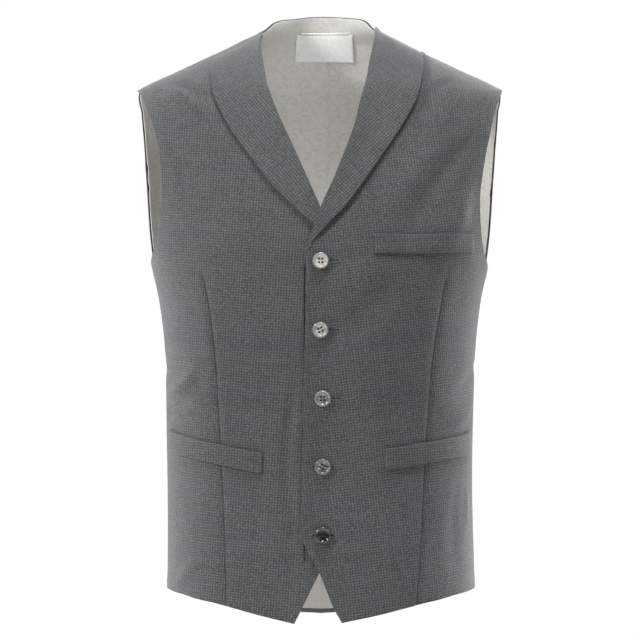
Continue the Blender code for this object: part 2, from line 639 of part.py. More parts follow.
fronts = {}
for side in ("left", "right"):
    fronts[side] = front_panel(side, SUITING)
    lapel = lapel_grid(side)
    lapel_lift = sheet_lift(side, lapel)
    sheet_wall(f"shawl_{side}", lapel, TRIM_GAP + LAPEL_WALL, LAPEL_WALL, SUITING, lapel_lift)
    sheet_wall(f"back_{side}", back_grid(side), 0.0, BACK_WALL, BACK_SATIN)
    sheet_wall(f"lining_back_{side}", lining_grid(side), -BACK_WALL - LINING_GAP, LINING_WALL, LINING)
for name in WELTS:
    welt = welt_grid(name)
    lift = sheet_lift("right" if name == "welt_right" else "left", welt)
    sheet_wall(name, welt, TRIM_GAP + WELT_WALL, WELT_WALL, SUITING, lift)

inside = -BACK_WALL - LINING_GAP - LINING_WALL - LABEL_GAP
label_places = inside_back_grid(LABEL_CENTRE, LABEL_WIDTH, LABEL_LENGTH, columns=8, rows=3)
loop_places = inside_back_grid(LOOP_CENTRE, LOOP_LENGTH, LOOP_WIDTH, columns=8, rows=1)
sheet_wall("label", label_places, inside, LABEL_WALL, LABEL)
sheet_wall("hanger_loop", loop_places, inside, LABEL_WALL, LINING)
fastenings(fronts["left"])
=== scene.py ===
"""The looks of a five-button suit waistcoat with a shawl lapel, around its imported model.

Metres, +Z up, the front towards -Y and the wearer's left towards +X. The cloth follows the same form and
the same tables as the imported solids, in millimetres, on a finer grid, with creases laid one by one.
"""

import json

import bmesh
import bpy
import numpy as np
from mathutils import Matrix, Vector

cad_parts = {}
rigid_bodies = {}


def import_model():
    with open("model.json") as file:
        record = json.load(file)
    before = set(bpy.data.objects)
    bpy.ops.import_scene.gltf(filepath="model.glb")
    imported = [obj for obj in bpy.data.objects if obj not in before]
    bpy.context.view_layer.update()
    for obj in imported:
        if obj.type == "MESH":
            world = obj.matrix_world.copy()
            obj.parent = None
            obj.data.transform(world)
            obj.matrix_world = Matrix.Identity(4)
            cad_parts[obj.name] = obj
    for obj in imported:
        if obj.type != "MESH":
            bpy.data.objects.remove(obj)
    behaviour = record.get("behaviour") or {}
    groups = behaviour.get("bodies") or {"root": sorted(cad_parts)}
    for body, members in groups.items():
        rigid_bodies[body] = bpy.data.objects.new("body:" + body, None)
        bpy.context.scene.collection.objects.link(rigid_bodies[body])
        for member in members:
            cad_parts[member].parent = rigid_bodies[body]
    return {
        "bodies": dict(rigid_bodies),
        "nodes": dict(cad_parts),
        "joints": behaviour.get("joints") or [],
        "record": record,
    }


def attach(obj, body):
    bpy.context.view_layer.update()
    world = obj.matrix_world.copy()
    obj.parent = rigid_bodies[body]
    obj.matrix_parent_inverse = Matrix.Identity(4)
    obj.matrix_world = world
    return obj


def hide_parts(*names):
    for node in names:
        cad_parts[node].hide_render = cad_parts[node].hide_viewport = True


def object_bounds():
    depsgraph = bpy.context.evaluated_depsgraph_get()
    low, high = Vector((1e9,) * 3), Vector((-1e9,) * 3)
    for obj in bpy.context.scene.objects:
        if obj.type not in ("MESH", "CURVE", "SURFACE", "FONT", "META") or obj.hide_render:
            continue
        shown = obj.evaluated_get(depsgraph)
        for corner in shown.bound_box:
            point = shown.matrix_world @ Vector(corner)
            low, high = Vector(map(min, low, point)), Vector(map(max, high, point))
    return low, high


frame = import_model()
CAD_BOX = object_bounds()

MM = 0.001
DEGREE = np.pi / 180

FRONT_WALL = 1.5 * MM  # outer cloth, canvas and lining of a front
BACK_WALL = 1.0 * MM
LINING_WALL = 1.0 * MM
LAPEL_WALL = 1.5 * MM
WELT_WALL = 1.4 * MM
LABEL_WALL = 1.0 * MM
SEAM_GAP = 0.0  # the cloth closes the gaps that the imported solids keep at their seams
LAYER_GAP = 0.5 * MM  # between layers that follow the same points
LINING_GAP = 0.6 * MM
TRIM_GAP = 0.6 * MM  # between a panel and a piece with finer facets on it
LABEL_GAP = 0.9 * MM  # wide enough for the coarse facets inside the neck
LINING_INSET = 0.5 * MM  # the lining stops this far inside the neck and armhole edges
LINING_HEM_INSET = 4.6 * MM
OVERLAP_LIFT = FRONT_WALL + LAYER_GAP  # how far the left front stands out over the right one
LAPEL_LIFT = LAPEL_WALL + TRIM_GAP  # how much more it stands out over the right lapel's end

BUTTON_HEIGHT = 3.0 * MM
BUTTON_SPACING = 63.1 * MM
TOP_BUTTON_HEIGHT = -217.5 * MM
BUTTON_ACROSS = (0.7, 0.4, 2.5, 2.5, 2.5)  # mm from the middle, from the top one down
BUTTONHOLE_LENGTH = 20.0 * MM
BUTTONHOLE_WIDTH = 2.6 * MM
BUTTONHOLE_MIDDLE = (7.8, 7.9, 8.2, 0.2, 0.2)  # mm from its button's middle, towards the wearer's left
SHANK_DIAMETER = 1.8 * MM
BUTTON_PROFILE = (  # from its middle on top round to its middle below: radius and height in mm
    (0, 1.9), (4.6, 1.9), (5.6, 2.7), (6.5, 3.0), (7.2, 2.6), (7.5, 1.7), (7.1, 0.7), (5.6, 0), (0, 0),
)
BUTTON_SEGMENTS = 24
THREAD_HOLE_DIAMETER = 1.7 * MM
THREAD_HOLE_SPACING = 3.2 * MM

# The form's sections: height, half width, depth in front, depth behind (mm), squareness of the ellipse.
SECTIONS = (
    (30, 43.0, 20, 50, 2.00),
    (22, 44.0, 22, 52, 2.00),
    (8, 47.5, 25, 57, 2.00),
    (3, 51.5, 28, 59, 2.00),
    (-3, 62.0, 32, 62, 2.00),
    (-8, 73.0, 36, 65, 2.03),
    (-16, 88.8, 42, 69, 2.06),
    (-27, 112.6, 50, 75, 2.10),
    (-39, 138.0, 59, 80, 2.14),
    (-50, 162.0, 67, 85, 2.18),
    (-57, 174.0, 72, 88, 2.20),
    (-70, 182.0, 79, 92, 2.23),
    (-90, 184.5, 88, 97, 2.26),
    (-120, 180.0, 99, 103, 2.30),
    (-155, 172.5, 109, 107, 2.34),
    (-190, 165.8, 117, 108, 2.38),
    (-217, 159.8, 120, 107, 2.40),
    (-263, 151.0, 119, 101, 2.40),
    (-310, 146.4, 115, 94, 2.40),
    (-363, 144.9, 110, 90, 2.40),
    (-430, 143.9, 108, 94, 2.40),
    (-524, 145.0, 109, 102, 2.40),
    (-575, 146.0, 110, 106, 2.40),
)
SHOULDER_ANGLE = 90.0
SIDE_SEAM_ANGLE = 97.0

# Front edges, from the hem tip up: (across, height) in mm for each stretch of the edge.
CUTAWAY = {
    "left": ((20.0, -550.5), (12.7, -537.3), (-0.6, -504.6), (-17.6, -473.0)),
    "right": ((-23.7, -551.5), (-16.6, -537.3), (-0.6, -504.6), (15.6, -473.0)),
}
CENTRE_FRONT = {
    "left": ((-17.6, -473.0), (-16.2, -397.0), (-14.4, -310.0), (-12.9, -240.0), (-12.5, -206.0)),
    "right": ((15.6, -473.0), (15.4, -397.0), (14.8, -310.0), (14.0, -240.0), (13.4, -204.0)),
}
ROLL_LINE = {
    "left": (
        (-12.5, -206.0), (-7.8, -193.0), (0.2, -170.5), (11.7, -145.0), (19.1, -126.5), (30.3, -97.4),
        (39.0, -63.3), (45.5, -33.2), (49.6, -12.0), (50.4, -1.5),
    ),
    "right": (
        (13.4, -204.0), (8.2, -190.0), (0.8, -170.0), (-11.0, -143.0), (-23.9, -114.0), (-38.9, -81.0),
        (-47.6, -58.0), (-53.0, -29.2), (-55.6, -10.0), (-54.2, -3.0),
    ),
}
LAPEL_EDGE = {
    "left": (
        (-9.8, -208.0), (-6.6, -199.5), (0.9, -190.8), (9.2, -182.1), (21.5, -169.9), (40.0, -145.0),
        (58.7, -117.6), (74.9, -93.4), (86.3, -73.2), (92.8, -55.2), (95.4, -41.0), (95.6, -27.0),
    ),
    "right": (
        (10.8, -206.0), (7.0, -197.0), (-5.3, -184.8), (-23.9, -167.3), (-44.8, -146.3), (-61.0, -125.0),
        (-73.4, -108.5), (-86.1, -89.6), (-94.9, -71.5), (-100.2, -55.1), (-101.4, -41.8), (-100.2, -27.5),
    ),
}
LAPEL_TOP_ANGLE = {"left": 86.0, "right": 72.0}  # the right lapel is set on a little before the ridge
HEM_HEIGHT = {  # round from the front tip: (angle, height)
    "left": ((21.6, -543.5), (31.3, -537.8), (42.4, -532.0), (59.3, -526.5), (80.0, -524.0), (97.0, -524.5)),
    "right": ((21.0, -544.5), (31.3, -538.0), (42.4, -532.0), (59.3, -526.5), (80.0, -524.0), (97.0, -524.5)),
}
BACK_HEM = ((97.0, -524.5), (115.0, -532.0), (137.0, -544.0), (158.0, -553.0), (180.0, -556.0))

# The dart line, from the hem up to the dart's point, and on up the cloth to the shoulder.
DART = {
    "left": (
        (89.5, -531.0), (94.6, -467.0), (99.2, -380.0), (104.1, -315.4), (111.6, -263.0), (117.2, -231.0),
    ),
    "right": (
        (-87.0, -535.0), (-88.6, -471.0), (-92.7, -384.0), (-97.5, -304.3), (-103.3, -259.0), (-109.8, -227.0),
    ),
}
ABOVE_DART = ((119.0, -190.0), (119.0, -140.0), (115.0, -90.0), (111.0, -55.0), (109.0, -39.0), (108.5, -30.0))
SHOULDER_MIDDLE_HEIGHT = -25.0
SHOULDER_REACH = -40.0  # a height on the shoulder beyond the lapels' ends
DART_GAP = 0.4 * MM

# Armhole edges as (angle, height), from the side seam round the front, and from it round the back.
ARMHOLE_FRONT = {
    "left": (
        (97.0, -227.0), (86.0, -225.0), (75.0, -218.0), (66.5, -208.5), (61.3, -194.5), (57.2, -170.0),
        (55.6, -150.0), (55.3, -131.0), (55.6, -112.0), (57.0, -92.0), (60.5, -76.0), (67.5, -63.5),
        (78.0, -57.0), (90.0, -54.3),
    ),
    "right": (
        (97.0, -222.0), (86.0, -219.5), (75.0, -213.0), (66.6, -203.0), (60.5, -186.0), (56.2, -167.0),
        (53.9, -148.0), (52.7, -128.0), (52.9, -108.0), (55.0, -89.0), (59.0, -75.0), (67.0, -62.0),
        (78.0, -57.0), (90.0, -55.2),
    ),
}
ARMHOLE_BACK = {
    "left": (
        (97.0, -227.0), (101.0, -219.0), (104.0, -206.0), (107.5, -186.0), (111.3, -158.0), (115.0, -128.0),
        (117.0, -97.0), (114.5, -74.0), (107.0, -61.0), (98.0, -55.0), (90.0, -54.3),
    ),
    "right": (
        (97.0, -222.0), (101.0, -215.0), (104.0, -203.0), (107.2, -185.0), (111.0, -158.0), (114.8, -128.0),
        (117.0, -97.0), (114.5, -75.0), (107.0, -62.0), (98.0, -56.0), (90.0, -55.2),
    ),
}
SKIRT_MARK_HEIGHT = -462.0  # where the rows of the dart line and the side pass the cutaway's corner
BACK_LEVEL = -225.0  # where the rows of the centre back pass the armhole's lowest point
NECK_POINT_HEIGHT = {"left": 3.6, "right": 2.2}
BACK_NECK = {  # from the neck point round to the centre back: (angle, height)
    "left": ((93.0, 5.5), (104.0, 10.6), (117.0, 13.7), (133.0, 15.6), (155.0, 17.4)),
    "right": ((94.0, 4.6), (104.0, 8.8), (126.0, 13.6), (149.0, 15.9), (168.0, 17.9)),
}
CENTRE_BACK = ((176.0, 18.4), (177.6, -120.0), (178.8, -300.0), (179.6, -556.0))  # the seam leans a little

# Pocket welts: (across, top edge height, bottom edge height) in mm.
WELTS = {
    "welt_left": (
        (60.4, -390.6, -410.0), (74.0, -388.6, -408.4), (96.0, -385.6, -405.0), (118.0, -382.0, -401.1),
        (138.6, -377.0, -396.0),
    ),
    "welt_right": (
        (-53.4, -393.9, -413.4), (-73.0, -390.6, -410.0), (-92.0, -387.0, -405.7), (-113.0, -382.7, -401.2),
        (-138.4, -375.0, -393.6),
    ),
    "chest_welt": (
        (49.6, -192.6, -211.2), (72.0, -192.8, -211.2), (95.0, -192.8, -210.9), (118.0, -192.4, -210.2),
        (141.0, -191.7, -209.0),
    ),
}
LABEL_WIDTH = 57.0 * MM
LABEL_LENGTH = 24.6 * MM
LABEL_CENTRE = (4.3, -12.3)  # across and height, mm
LOOP_LENGTH = 50.0 * MM
LOOP_WIDTH = 2.5 * MM
LOOP_CENTRE = (5.6, 2.6)

FINE = 6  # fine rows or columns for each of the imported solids' own
FRONT_COLUMNS = (8 * FINE, 7 * FINE)  # before and behind the dart line
EDGE_ROWS = (3 * FINE, 11 * FINE, 12 * FINE)  # along the cutaway, the centre front and the roll line
DART_ROWS = (3 * FINE, 10 * FINE, 1 * FINE, 12 * FINE)  # up to the skirt mark, the armhole's level, the point, the top
SIDE_ROWS = (3 * FINE, 10 * FINE, 13 * FINE)  # up to the skirt mark, the armhole and the shoulder
BACK_COLUMNS = 11 * FINE
MIDDLE_ROWS = (11 * FINE, 6 * FINE, 6 * FINE)  # along the centre back below and above the armhole, and the neck
FLANK_ROWS = (11 * FINE, 12 * FINE)  # along the side seam and the armhole
SHOULDER_CROWDING = 1.6
NECK_CROWDING = 1.3
LAPEL_ROWS = 180
LAPEL_COLUMNS = 40
WELT_ROWS = 14
WELT_COLUMNS = 60
LINE_SAMPLES = 1600

# Creases of the fronts: across and height of both ends, half width, and depth (a ridge if positive), mm.
FRONT_CREASES = {
    "left": (
        (124, -46, 92, -86, 8, -2.6),
        (138, -56, 110, -92, 8, 2.0),
        (148, -96, 80, -196, 12, -4.2),
        (156, -126, 106, -204, 10, 2.8),
        (112, -100, 66, -168, 11, 1.8),
        (144, -338, 120, -370, 7, 2.0),
        (150, -314, 126, -342, 7, -1.8),
        (137, -425, 135, -475, 6, 0.9),
        (127, -428, 126, -505, 7, -0.9),
        (14, -212, 46, -213, 4, -1.6),
        (4, -292, 74, -232, 11, -1.8),
        (10, -250, 66, -222, 9, 0.9),
        (20, -300, 78, -318, 7, 0.7),
        (24, -362, 88, -350, 8, -0.7),
        (40, -455, 48, -536, 9, 0.7),
        (98, -470, 84, -530, 8, 0.8),
        (72, -120, 98, -166, 10, 0.8),
    ),
    "right": (
        (-144, -58, -106, -82, 8, 3.4),
        (-132, -50, -98, -74, 7, -2.4),
        (-146, -100, -112, -150, 9, -2.2),
        (-114, -318, -140, -344, 7, 2.2),
        (-124, -304, -146, -322, 7, -1.7),
        (-120, -346, -143, -366, 6, -1.8),
        (-134, -520, -88, -484, 7, 1.6),
        (-21, -320, -20, -490, 5, -2.6),
        (-126, -500, -66, -466, 8, -1.2),
        (-22, -306, -80, -322, 7, 0.7),
        (-26, -366, -90, -352, 8, -0.7),
        (-64, -250, -108, -216, 9, 0.8),
        (-40, -430, -52, -534, 9, 0.6),
        (-84, -150, -112, -196, 10, -0.9),
    ),
}
# Creases of the back, cloth and lining alike: angle and height of both ends, half width and depth.
BACK_CREASES = {
    "left": (
        (104, -300, 142, -322, 9, -2.0),
        (103, -326, 150, -340, 8, 1.6),
        (106, -352, 158, -362, 9, -1.5),
        (104, -382, 140, -384, 7, 1.1),
        (108, -206, 126, -262, 9, 1.7),
        (112, -186, 134, -246, 8, -1.3),
        (100, -66, 128, -118, 10, 1.3),
        (108, -60, 140, -96, 8, -0.9),
        (160, -330, 171, -430, 10, 0.9),
        (120, -430, 128, -540, 9, -0.9),
        (148, -452, 152, -548, 10, 0.8),
    ),
    "right": (
        (-103, -308, -146, -326, 9, -1.8),
        (-104, -336, -138, -346, 8, 1.7),
        (-108, -358, -160, -372, 9, -1.4),
        (-102, -390, -132, -398, 7, 1.0),
        (-107, -198, -128, -256, 9, -1.7),
        (-113, -176, -132, -226, 7, 1.2),
        (-101, -70, -124, -110, 9, 1.2),
        (-112, -58, -146, -88, 8, -1.0),
        (-158, -322, -168, -440, 10, -0.8),
        (-124, -440, -130, -546, 9, 0.9),
        (-150, -440, -154, -540, 10, -0.7),
    ),
}
# Small creases beside the armholes, which show on the lining through them.
LINING_CREASES = {
    "left": ((110, -150, 124, -154, 4, -1.4), (112, -214, 128, -222, 5, 1.3), (116, -104, 132, -112, 4, 1.0)),
    "right": (
        (-117, -92, -132, -97, 4, -1.4),
        (-112, -124, -128, -136, 5, 1.5),
        (-110, -146, -124, -152, 4, -1.2),
        (-110, -190, -124, -202, 5, 1.0),
    ),
}
# Slow waves that keep the cloth from looking turned on a lathe: height (mm), and radians per mm round and up.
DRIFT = ((0.55, 0.026, 0.004), (0.40, -0.011, 0.019), (0.28, 0.037, -0.030), (0.22, 0.055, 0.012))
SEAM_DEPTH = 1.1  # how far the cloth sinks along a dart or into a seam, mm
SEAM_HALF_WIDTH = 2.2
HEM_FOLD = 0.35  # extra thickness where an edge is turned under, mm
EDGE_ROUNDING = 0.45 * MM
FACING_SHARE = 0.42  # the share of a front's inside, from its edge to the dart, that is faced with its own cloth

LAPEL_ROLL = 2.4  # how much the lapel stands up along its roll line, mm
LAPEL_ROLL_WIDTH = 9.0
LAPEL_EDGE_LIFT = 2.0  # and how far its outer edge stands off the front, mm
LAPEL_EDGE_WIDTH = 14.0
LAPEL_WAVES = ((0.35, 0.031, 1.0), (0.22, 0.067, 2.3))  # height, waves per mm along the lapel, start

THREAD_RADIUS = 0.22 * MM
BUTTON_STEPS = 72
BUTTON_TURNS = (0.0, 24.0, 3.0, -32.0, -40.0)  # how each button sits turned on its thread, degrees
SHADE_LINE_RADIUS = 0.48 * MM  # of the dark tubes of painted shade along pocket mouths and darts
EDGE_CURL = 1.5  # how much the left front's edge curls off the right one, mm
EDGE_SHADE_LINE = (-222, -494, -14.8)  # the two heights and the place across of the painted shade line along the left front's edge, mm
LABEL_RISE = 2.5  # mm, the label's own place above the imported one

CHECK_ROUND = 2.62 * MM  # between the light threads that run up the cloth
CHECK_UP = 2.42 * MM  # and between those that run across it
GRAIN = {"left": -6.0, "right": 4.0}  # how far each front's grain leans, degrees
LAPEL_GRAIN = {"left": 45.0, "right": -38.0}

CAMERA_DISTANCE = 4.0
CAMERA_HEIGHT = -0.272
PICTURE_WIDTH = 0.6048  # what the picture takes in at the garment's middle
SENSOR = 36.0
FLOOR_DROP = 0.32
WORLD_LIGHT = 0.22
STEADY_EDGE = (4.0, 26.0)  # creases and waves grow from nothing between these distances from an open edge, mm


HEIGHTS, HALF_WIDTH, FRONT_DEPTH, BACK_DEPTH, SQUARENESS = np.array(SECTIONS[::-1], float).T


def smooth(places, values, at):
    """Reads a curve through the values that never swings past them (a monotone cubic)."""
    places, values = np.asarray(places, float), np.asarray(values, float)
    gaps = np.diff(places)
    rates = np.diff(values) / gaps
    slopes = np.concatenate(([rates[0]], np.zeros(len(rates) - 1), [rates[-1]]))
    turning = rates[:-1] * rates[1:] <= 0
    before, after = gaps[1:] + 2 * gaps[:-1], 2 * gaps[1:] + gaps[:-1]
    steady = np.where(turning, 1.0, rates[:-1]), np.where(turning, 1.0, rates[1:])
    slopes[1:-1] = np.where(turning, 0.0, (before + after) / (after / steady[0] + before / steady[1]))
    at = np.clip(at, places[0], places[-1])
    cell = np.clip(np.searchsorted(places, at) - 1, 0, len(gaps) - 1)
    gap = gaps[cell]
    share = (at - places[cell]) / gap
    return (
        values[cell] * (1 + 2 * share) * (1 - share) ** 2
        + slopes[cell] * gap * share * (1 - share) ** 2
        + values[cell + 1] * share**2 * (3 - 2 * share)
        + slopes[cell + 1] * gap * share**2 * (share - 1)
    )


def ease(value, start, end):
    """0 before start, 1 past end, and an even S between them."""
    share = np.clip((value - start) / (end - start), 0, 1)
    return share * share * (3 - 2 * share)


def on_form(angle, height):
    """Points of the form, in mm, from angles in degrees and heights in mm."""
    angle, height = np.broadcast_arrays(np.asarray(angle, float), np.asarray(height, float))
    across, ahead = np.sin(angle * DEGREE), np.cos(angle * DEGREE)
    power = smooth(HEIGHTS, SQUARENESS, height)
    reach = (np.abs(across) ** power + np.abs(ahead) ** power) ** (-1 / power)
    width = smooth(HEIGHTS, HALF_WIDTH, height)
    depth = np.where(ahead > 0, smooth(HEIGHTS, FRONT_DEPTH, height), smooth(HEIGHTS, BACK_DEPTH, height))
    return np.stack([width * reach * across, -depth * reach * ahead, height], axis=-1)


def normal_of(angle, height):
    """The form's outward normals."""
    nudge = 0.05
    round_it = on_form(angle + nudge, height) - on_form(angle - nudge, height)
    up_it = on_form(angle, height + nudge) - on_form(angle, height - nudge)
    normal = np.cross(round_it, up_it)
    return normal / np.linalg.norm(normal, axis=-1, keepdims=True)


def angle_across(across, height):
    """The angle, on the front, of the places this far across (mm)."""
    share = np.clip(np.abs(across) / smooth(HEIGHTS, HALF_WIDTH, height), 0, 1)
    power = smooth(HEIGHTS, SQUARENESS, height)
    return np.sign(across) * np.arctan2(share, (1 - share**power) ** (1 / power)) / DEGREE


def sheet_lift(side, places):
    """How far a front stands out from the form, in mm: only the left front, where it covers the right one."""
    if side == "right":
        return np.zeros(places.shape[:-1])
    across, _, height = np.moveaxis(on_form(places[..., 0], places[..., 1]), -1, 0)
    over_front = 1 - ease(across, 20, 85)
    over_lapel = ease(height, -290, -208) * (1 - ease(height, -163, -120))
    return over_front * (OVERLAP_LIFT + LAPEL_LIFT * over_lapel) / MM


def raised(places, out, lift=0.0):
    """Points, in metres, that stand out from the form by the given distance (metres) and lift (mm)."""
    angle, height = places[..., 0], places[..., 1]
    away = np.asarray(out / MM + lift)[..., None] * normal_of(angle, height)
    return (on_form(angle, height) + away) * MM


def marks_across(marks):
    """(angle, height) places of marks given as (across, height)."""
    across, height = np.array(marks, float).T
    return np.stack([angle_across(across, height), height], axis=-1)


def line_through(marks):
    """A smooth line on the form through the marks, as evenly spaced (angle, height) places."""
    marks = np.asarray(marks, float)
    along = np.concatenate(([0], np.cumsum(np.linalg.norm(np.diff(on_form(*marks.T), axis=0), axis=1))))
    fine = np.linspace(0, along[-1], 3 * LINE_SAMPLES)
    line = np.stack([smooth(along, marks[:, part], fine) for part in (0, 1)], axis=-1)
    return even(line, LINE_SAMPLES)


def even(line, count, crowding=1.0):
    """The line again, with this many places evenly spaced along it, or crowded towards its end."""
    lengths = np.concatenate(([0], np.cumsum(np.linalg.norm(np.diff(on_form(*line.T), axis=0), axis=1))))
    wanted = lengths[-1] * (1 - np.linspace(1, 0, count) ** crowding)
    return np.stack([np.interp(wanted, lengths, line[:, part]) for part in (0, 1)], axis=-1)


def stretches(lines, rows, crowding=(1.0,)):
    """One side of a grid: each line cut into its number of rows, the last of them as crowded as told."""
    crowding = [1.0] * (len(rows) - len(crowding)) + list(crowding)
    cut = [even(line, count + 1, crowd)[1:] for line, count, crowd in zip(lines, rows, crowding)]
    return np.concatenate([lines[0][:1], *cut])


def between(line, start, end, count):
    """The part of a line from one angle to another, cut evenly."""
    order = np.argsort(line[:, 0])
    angles = np.linspace(start, end, LINE_SAMPLES)
    heights = np.interp(angles, line[order, 0], line[order, 1])
    return even(np.stack([angles, heights], axis=-1), count)


def patch(low, high, start, end):
    """A grid of places inside four sides: low and high run along the columns, start and end along the rows."""
    up = np.linspace(0, 1, len(start))[:, None, None]
    along = np.linspace(0, 1, len(low))[None, :, None]
    sides = start[:, None] * (1 - along) + end[:, None] * along
    ends = low[None] * (1 - up) + high[None] * up
    low_corners = low[0] * (1 - along) + low[-1] * along
    high_corners = high[0] * (1 - along) + high[-1] * along
    return sides + ends - low_corners * (1 - up) - high_corners * up


def mirrored(places, side):
    """Places given for the wearer's left, on either side."""
    places = np.array(places, float)
    if side == "right":
        places[..., 0] *= -1
    return places


def seam_angle(height):
    """Half a seam's gap as an angle at the side of the form (degrees)."""
    return SEAM_GAP / 2 / MM / smooth(HEIGHTS, FRONT_DEPTH, height) / DEGREE


def seam_places(heights, side):
    """Places of the side seam at these heights."""
    return mirrored([(SIDE_SEAM_ANGLE, height) for height in heights], side)


def front_sides(side):
    """The four sides and the dart line of a front, as lines of places."""
    top = NECK_POINT_HEIGHT[side]
    inset = float(seam_angle(top))
    roll = np.concatenate([marks_across(ROLL_LINE[side]), mirrored([(SHOULDER_ANGLE - inset, top)], side)])
    edge = [marks_across(CUTAWAY[side]), marks_across(CENTRE_FRONT[side]), roll]
    dart = marks_across(DART[side])
    skirt = np.array([[np.interp(SKIRT_MARK_HEIGHT, dart[:, 1], dart[:, 0]), SKIRT_MARK_HEIGHT]])
    middle = np.array([(SHOULDER_ANGLE - float(seam_angle(SHOULDER_MIDDLE_HEIGHT)), SHOULDER_MIDDLE_HEIGHT)])
    upper = mirrored(np.concatenate([marks_across(ABOVE_DART), middle]), side)
    hem = np.concatenate([edge[0][:1], mirrored(HEM_HEIGHT[side], side)])
    hem_line = line_through(hem)
    order = np.argsort(hem_line[:, 0])
    foot = np.array([[dart[0, 0], np.interp(dart[0, 0], hem_line[order, 0], hem_line[order, 1])]])
    low_dart = np.concatenate([foot, skirt])
    high_dart = np.concatenate([skirt, dart[dart[:, 1] > SKIRT_MARK_HEIGHT]])
    dart_lines = [low_dart, high_dart[:-1], high_dart[-2:], np.concatenate([dart[-1:], upper])]
    arm = mirrored(ARMHOLE_FRONT[side], side)
    arm[-1] = mirrored((SHOULDER_ANGLE - float(seam_angle(arm[-1, 1])), arm[-1, 1]), side)
    side_seam = seam_places((hem[-1, 1], SKIRT_MARK_HEIGHT, -380, -300, arm[0, 1]), side)
    side_seam[:, 0] -= np.sign(side_seam[:, 0]) * seam_angle(side_seam[:, 1])
    arm[0] = side_seam[-1]
    side_lines = [side_seam[:2], side_seam[1:], arm]
    counted = (edge, EDGE_ROWS), (dart_lines, DART_ROWS), (side_lines, SIDE_ROWS)
    crowding = (SHOULDER_CROWDING,)
    cut = [stretches([line_through(marks) for marks in lines], rows, crowding) for lines, rows in counted]
    return hem_line, cut


def shoulder_line(side, start, end, sign=-1):
    """The shoulder seam between two heights, just before (-1) or behind (+1) the ridge."""
    heights = np.linspace(start, end, LINE_SAMPLES)
    angles = SHOULDER_ANGLE + sign * seam_angle(heights)
    return mirrored(np.stack([angles, heights], axis=-1), side)


def front_grid(side):
    """Grids of places before and behind the dart line, which share that line."""
    hem, (edge, dart, flank) = front_sides(side)
    low = (
        between(hem, edge[0, 0], dart[0, 0], FRONT_COLUMNS[0] + 1),
        between(hem, dart[0, 0], flank[0, 0], FRONT_COLUMNS[1] + 1),
    )
    high = (
        even(shoulder_line(side, edge[-1, 1], dart[-1, 1]), FRONT_COLUMNS[0] + 1),
        even(shoulder_line(side, dart[-1, 1], flank[-1, 1]), FRONT_COLUMNS[1] + 1),
    )
    return patch(low[0], high[0], edge, dart), patch(low[1], high[1], dart, flank)


def back_grid(side):
    """A grid of places over one half of the back; its first column runs up the centre back and round the neck."""
    centre = np.array(CENTRE_BACK[::-1], float)
    half_gap = SEAM_GAP / 2 / MM / smooth(HEIGHTS, HALF_WIDTH, centre[:, 1]) / DEGREE
    centre[:, 0] = centre[:, 0] - half_gap if side == "left" else centre[:, 0] + half_gap - 360
    arm = mirrored(ARMHOLE_BACK[side], side)
    flank = seam_places((BACK_HEM[0][1], -450, -380, -300, arm[0, 1]), side)
    flank[:, 0] += np.sign(flank[:, 0]) * seam_angle(flank[:, 1])
    arm[0] = flank[-1]
    arm[-1, 0] += np.sign(arm[-1, 0]) * seam_angle(arm[-1, 1])
    neck_top = NECK_POINT_HEIGHT[side]
    neck_end = mirrored([(SHOULDER_ANGLE + float(seam_angle(neck_top)), neck_top)], side)
    neck = np.concatenate([centre[-1:], mirrored(BACK_NECK[side], side)[::-1], neck_end])
    whole = line_through(centre)
    level = np.argmin(np.abs(whole[:, 1] - BACK_LEVEL))
    middle = stretches([whole[: level + 1], whole[level:], line_through(neck)], MIDDLE_ROWS, (NECK_CROWDING, 1.0))
    outside = stretches([line_through(flank), line_through(arm)], FLANK_ROWS, (SHOULDER_CROWDING,))
    hem = np.concatenate([flank[:1], mirrored(BACK_HEM[1:-1], side), centre[:1]])
    top = even(shoulder_line(side, neck_top, arm[-1, 1], sign=1), BACK_COLUMNS + 1)
    return patch(even(line_through(hem)[::-1], BACK_COLUMNS + 1), top, middle, outside)


def drawn_in(edge, inside, distance):
    """An edge's places moved this far towards the places inside it."""
    steps = np.linalg.norm(on_form(inside[..., 0], inside[..., 1]) - on_form(edge[..., 0], edge[..., 1]), axis=-1)
    return edge + (inside - edge) * (distance / MM / steps)[..., None]


def lining_grid(side):
    """The back's grid with its hem, neck and armhole edges drawn in, so that the back shows round the lining."""
    places = back_grid(side)
    inner = places.copy()
    inner[0] = drawn_in(places[0], places[1], LINING_HEM_INSET)
    arm, neck = FLANK_ROWS[0], sum(MIDDLE_ROWS[:2])
    inner[arm:-1, -1] = drawn_in(places[arm:-1, -1], places[arm:-1, -2], LINING_INSET)
    inner[neck, 0] = drawn_in(places[neck, 0], places[neck - 1, 0], LINING_INSET)
    inner[neck + 1 : -1, 0] = drawn_in(places[neck + 1 : -1, 0], places[neck + 1 : -1, 1], LINING_INSET)
    return inner


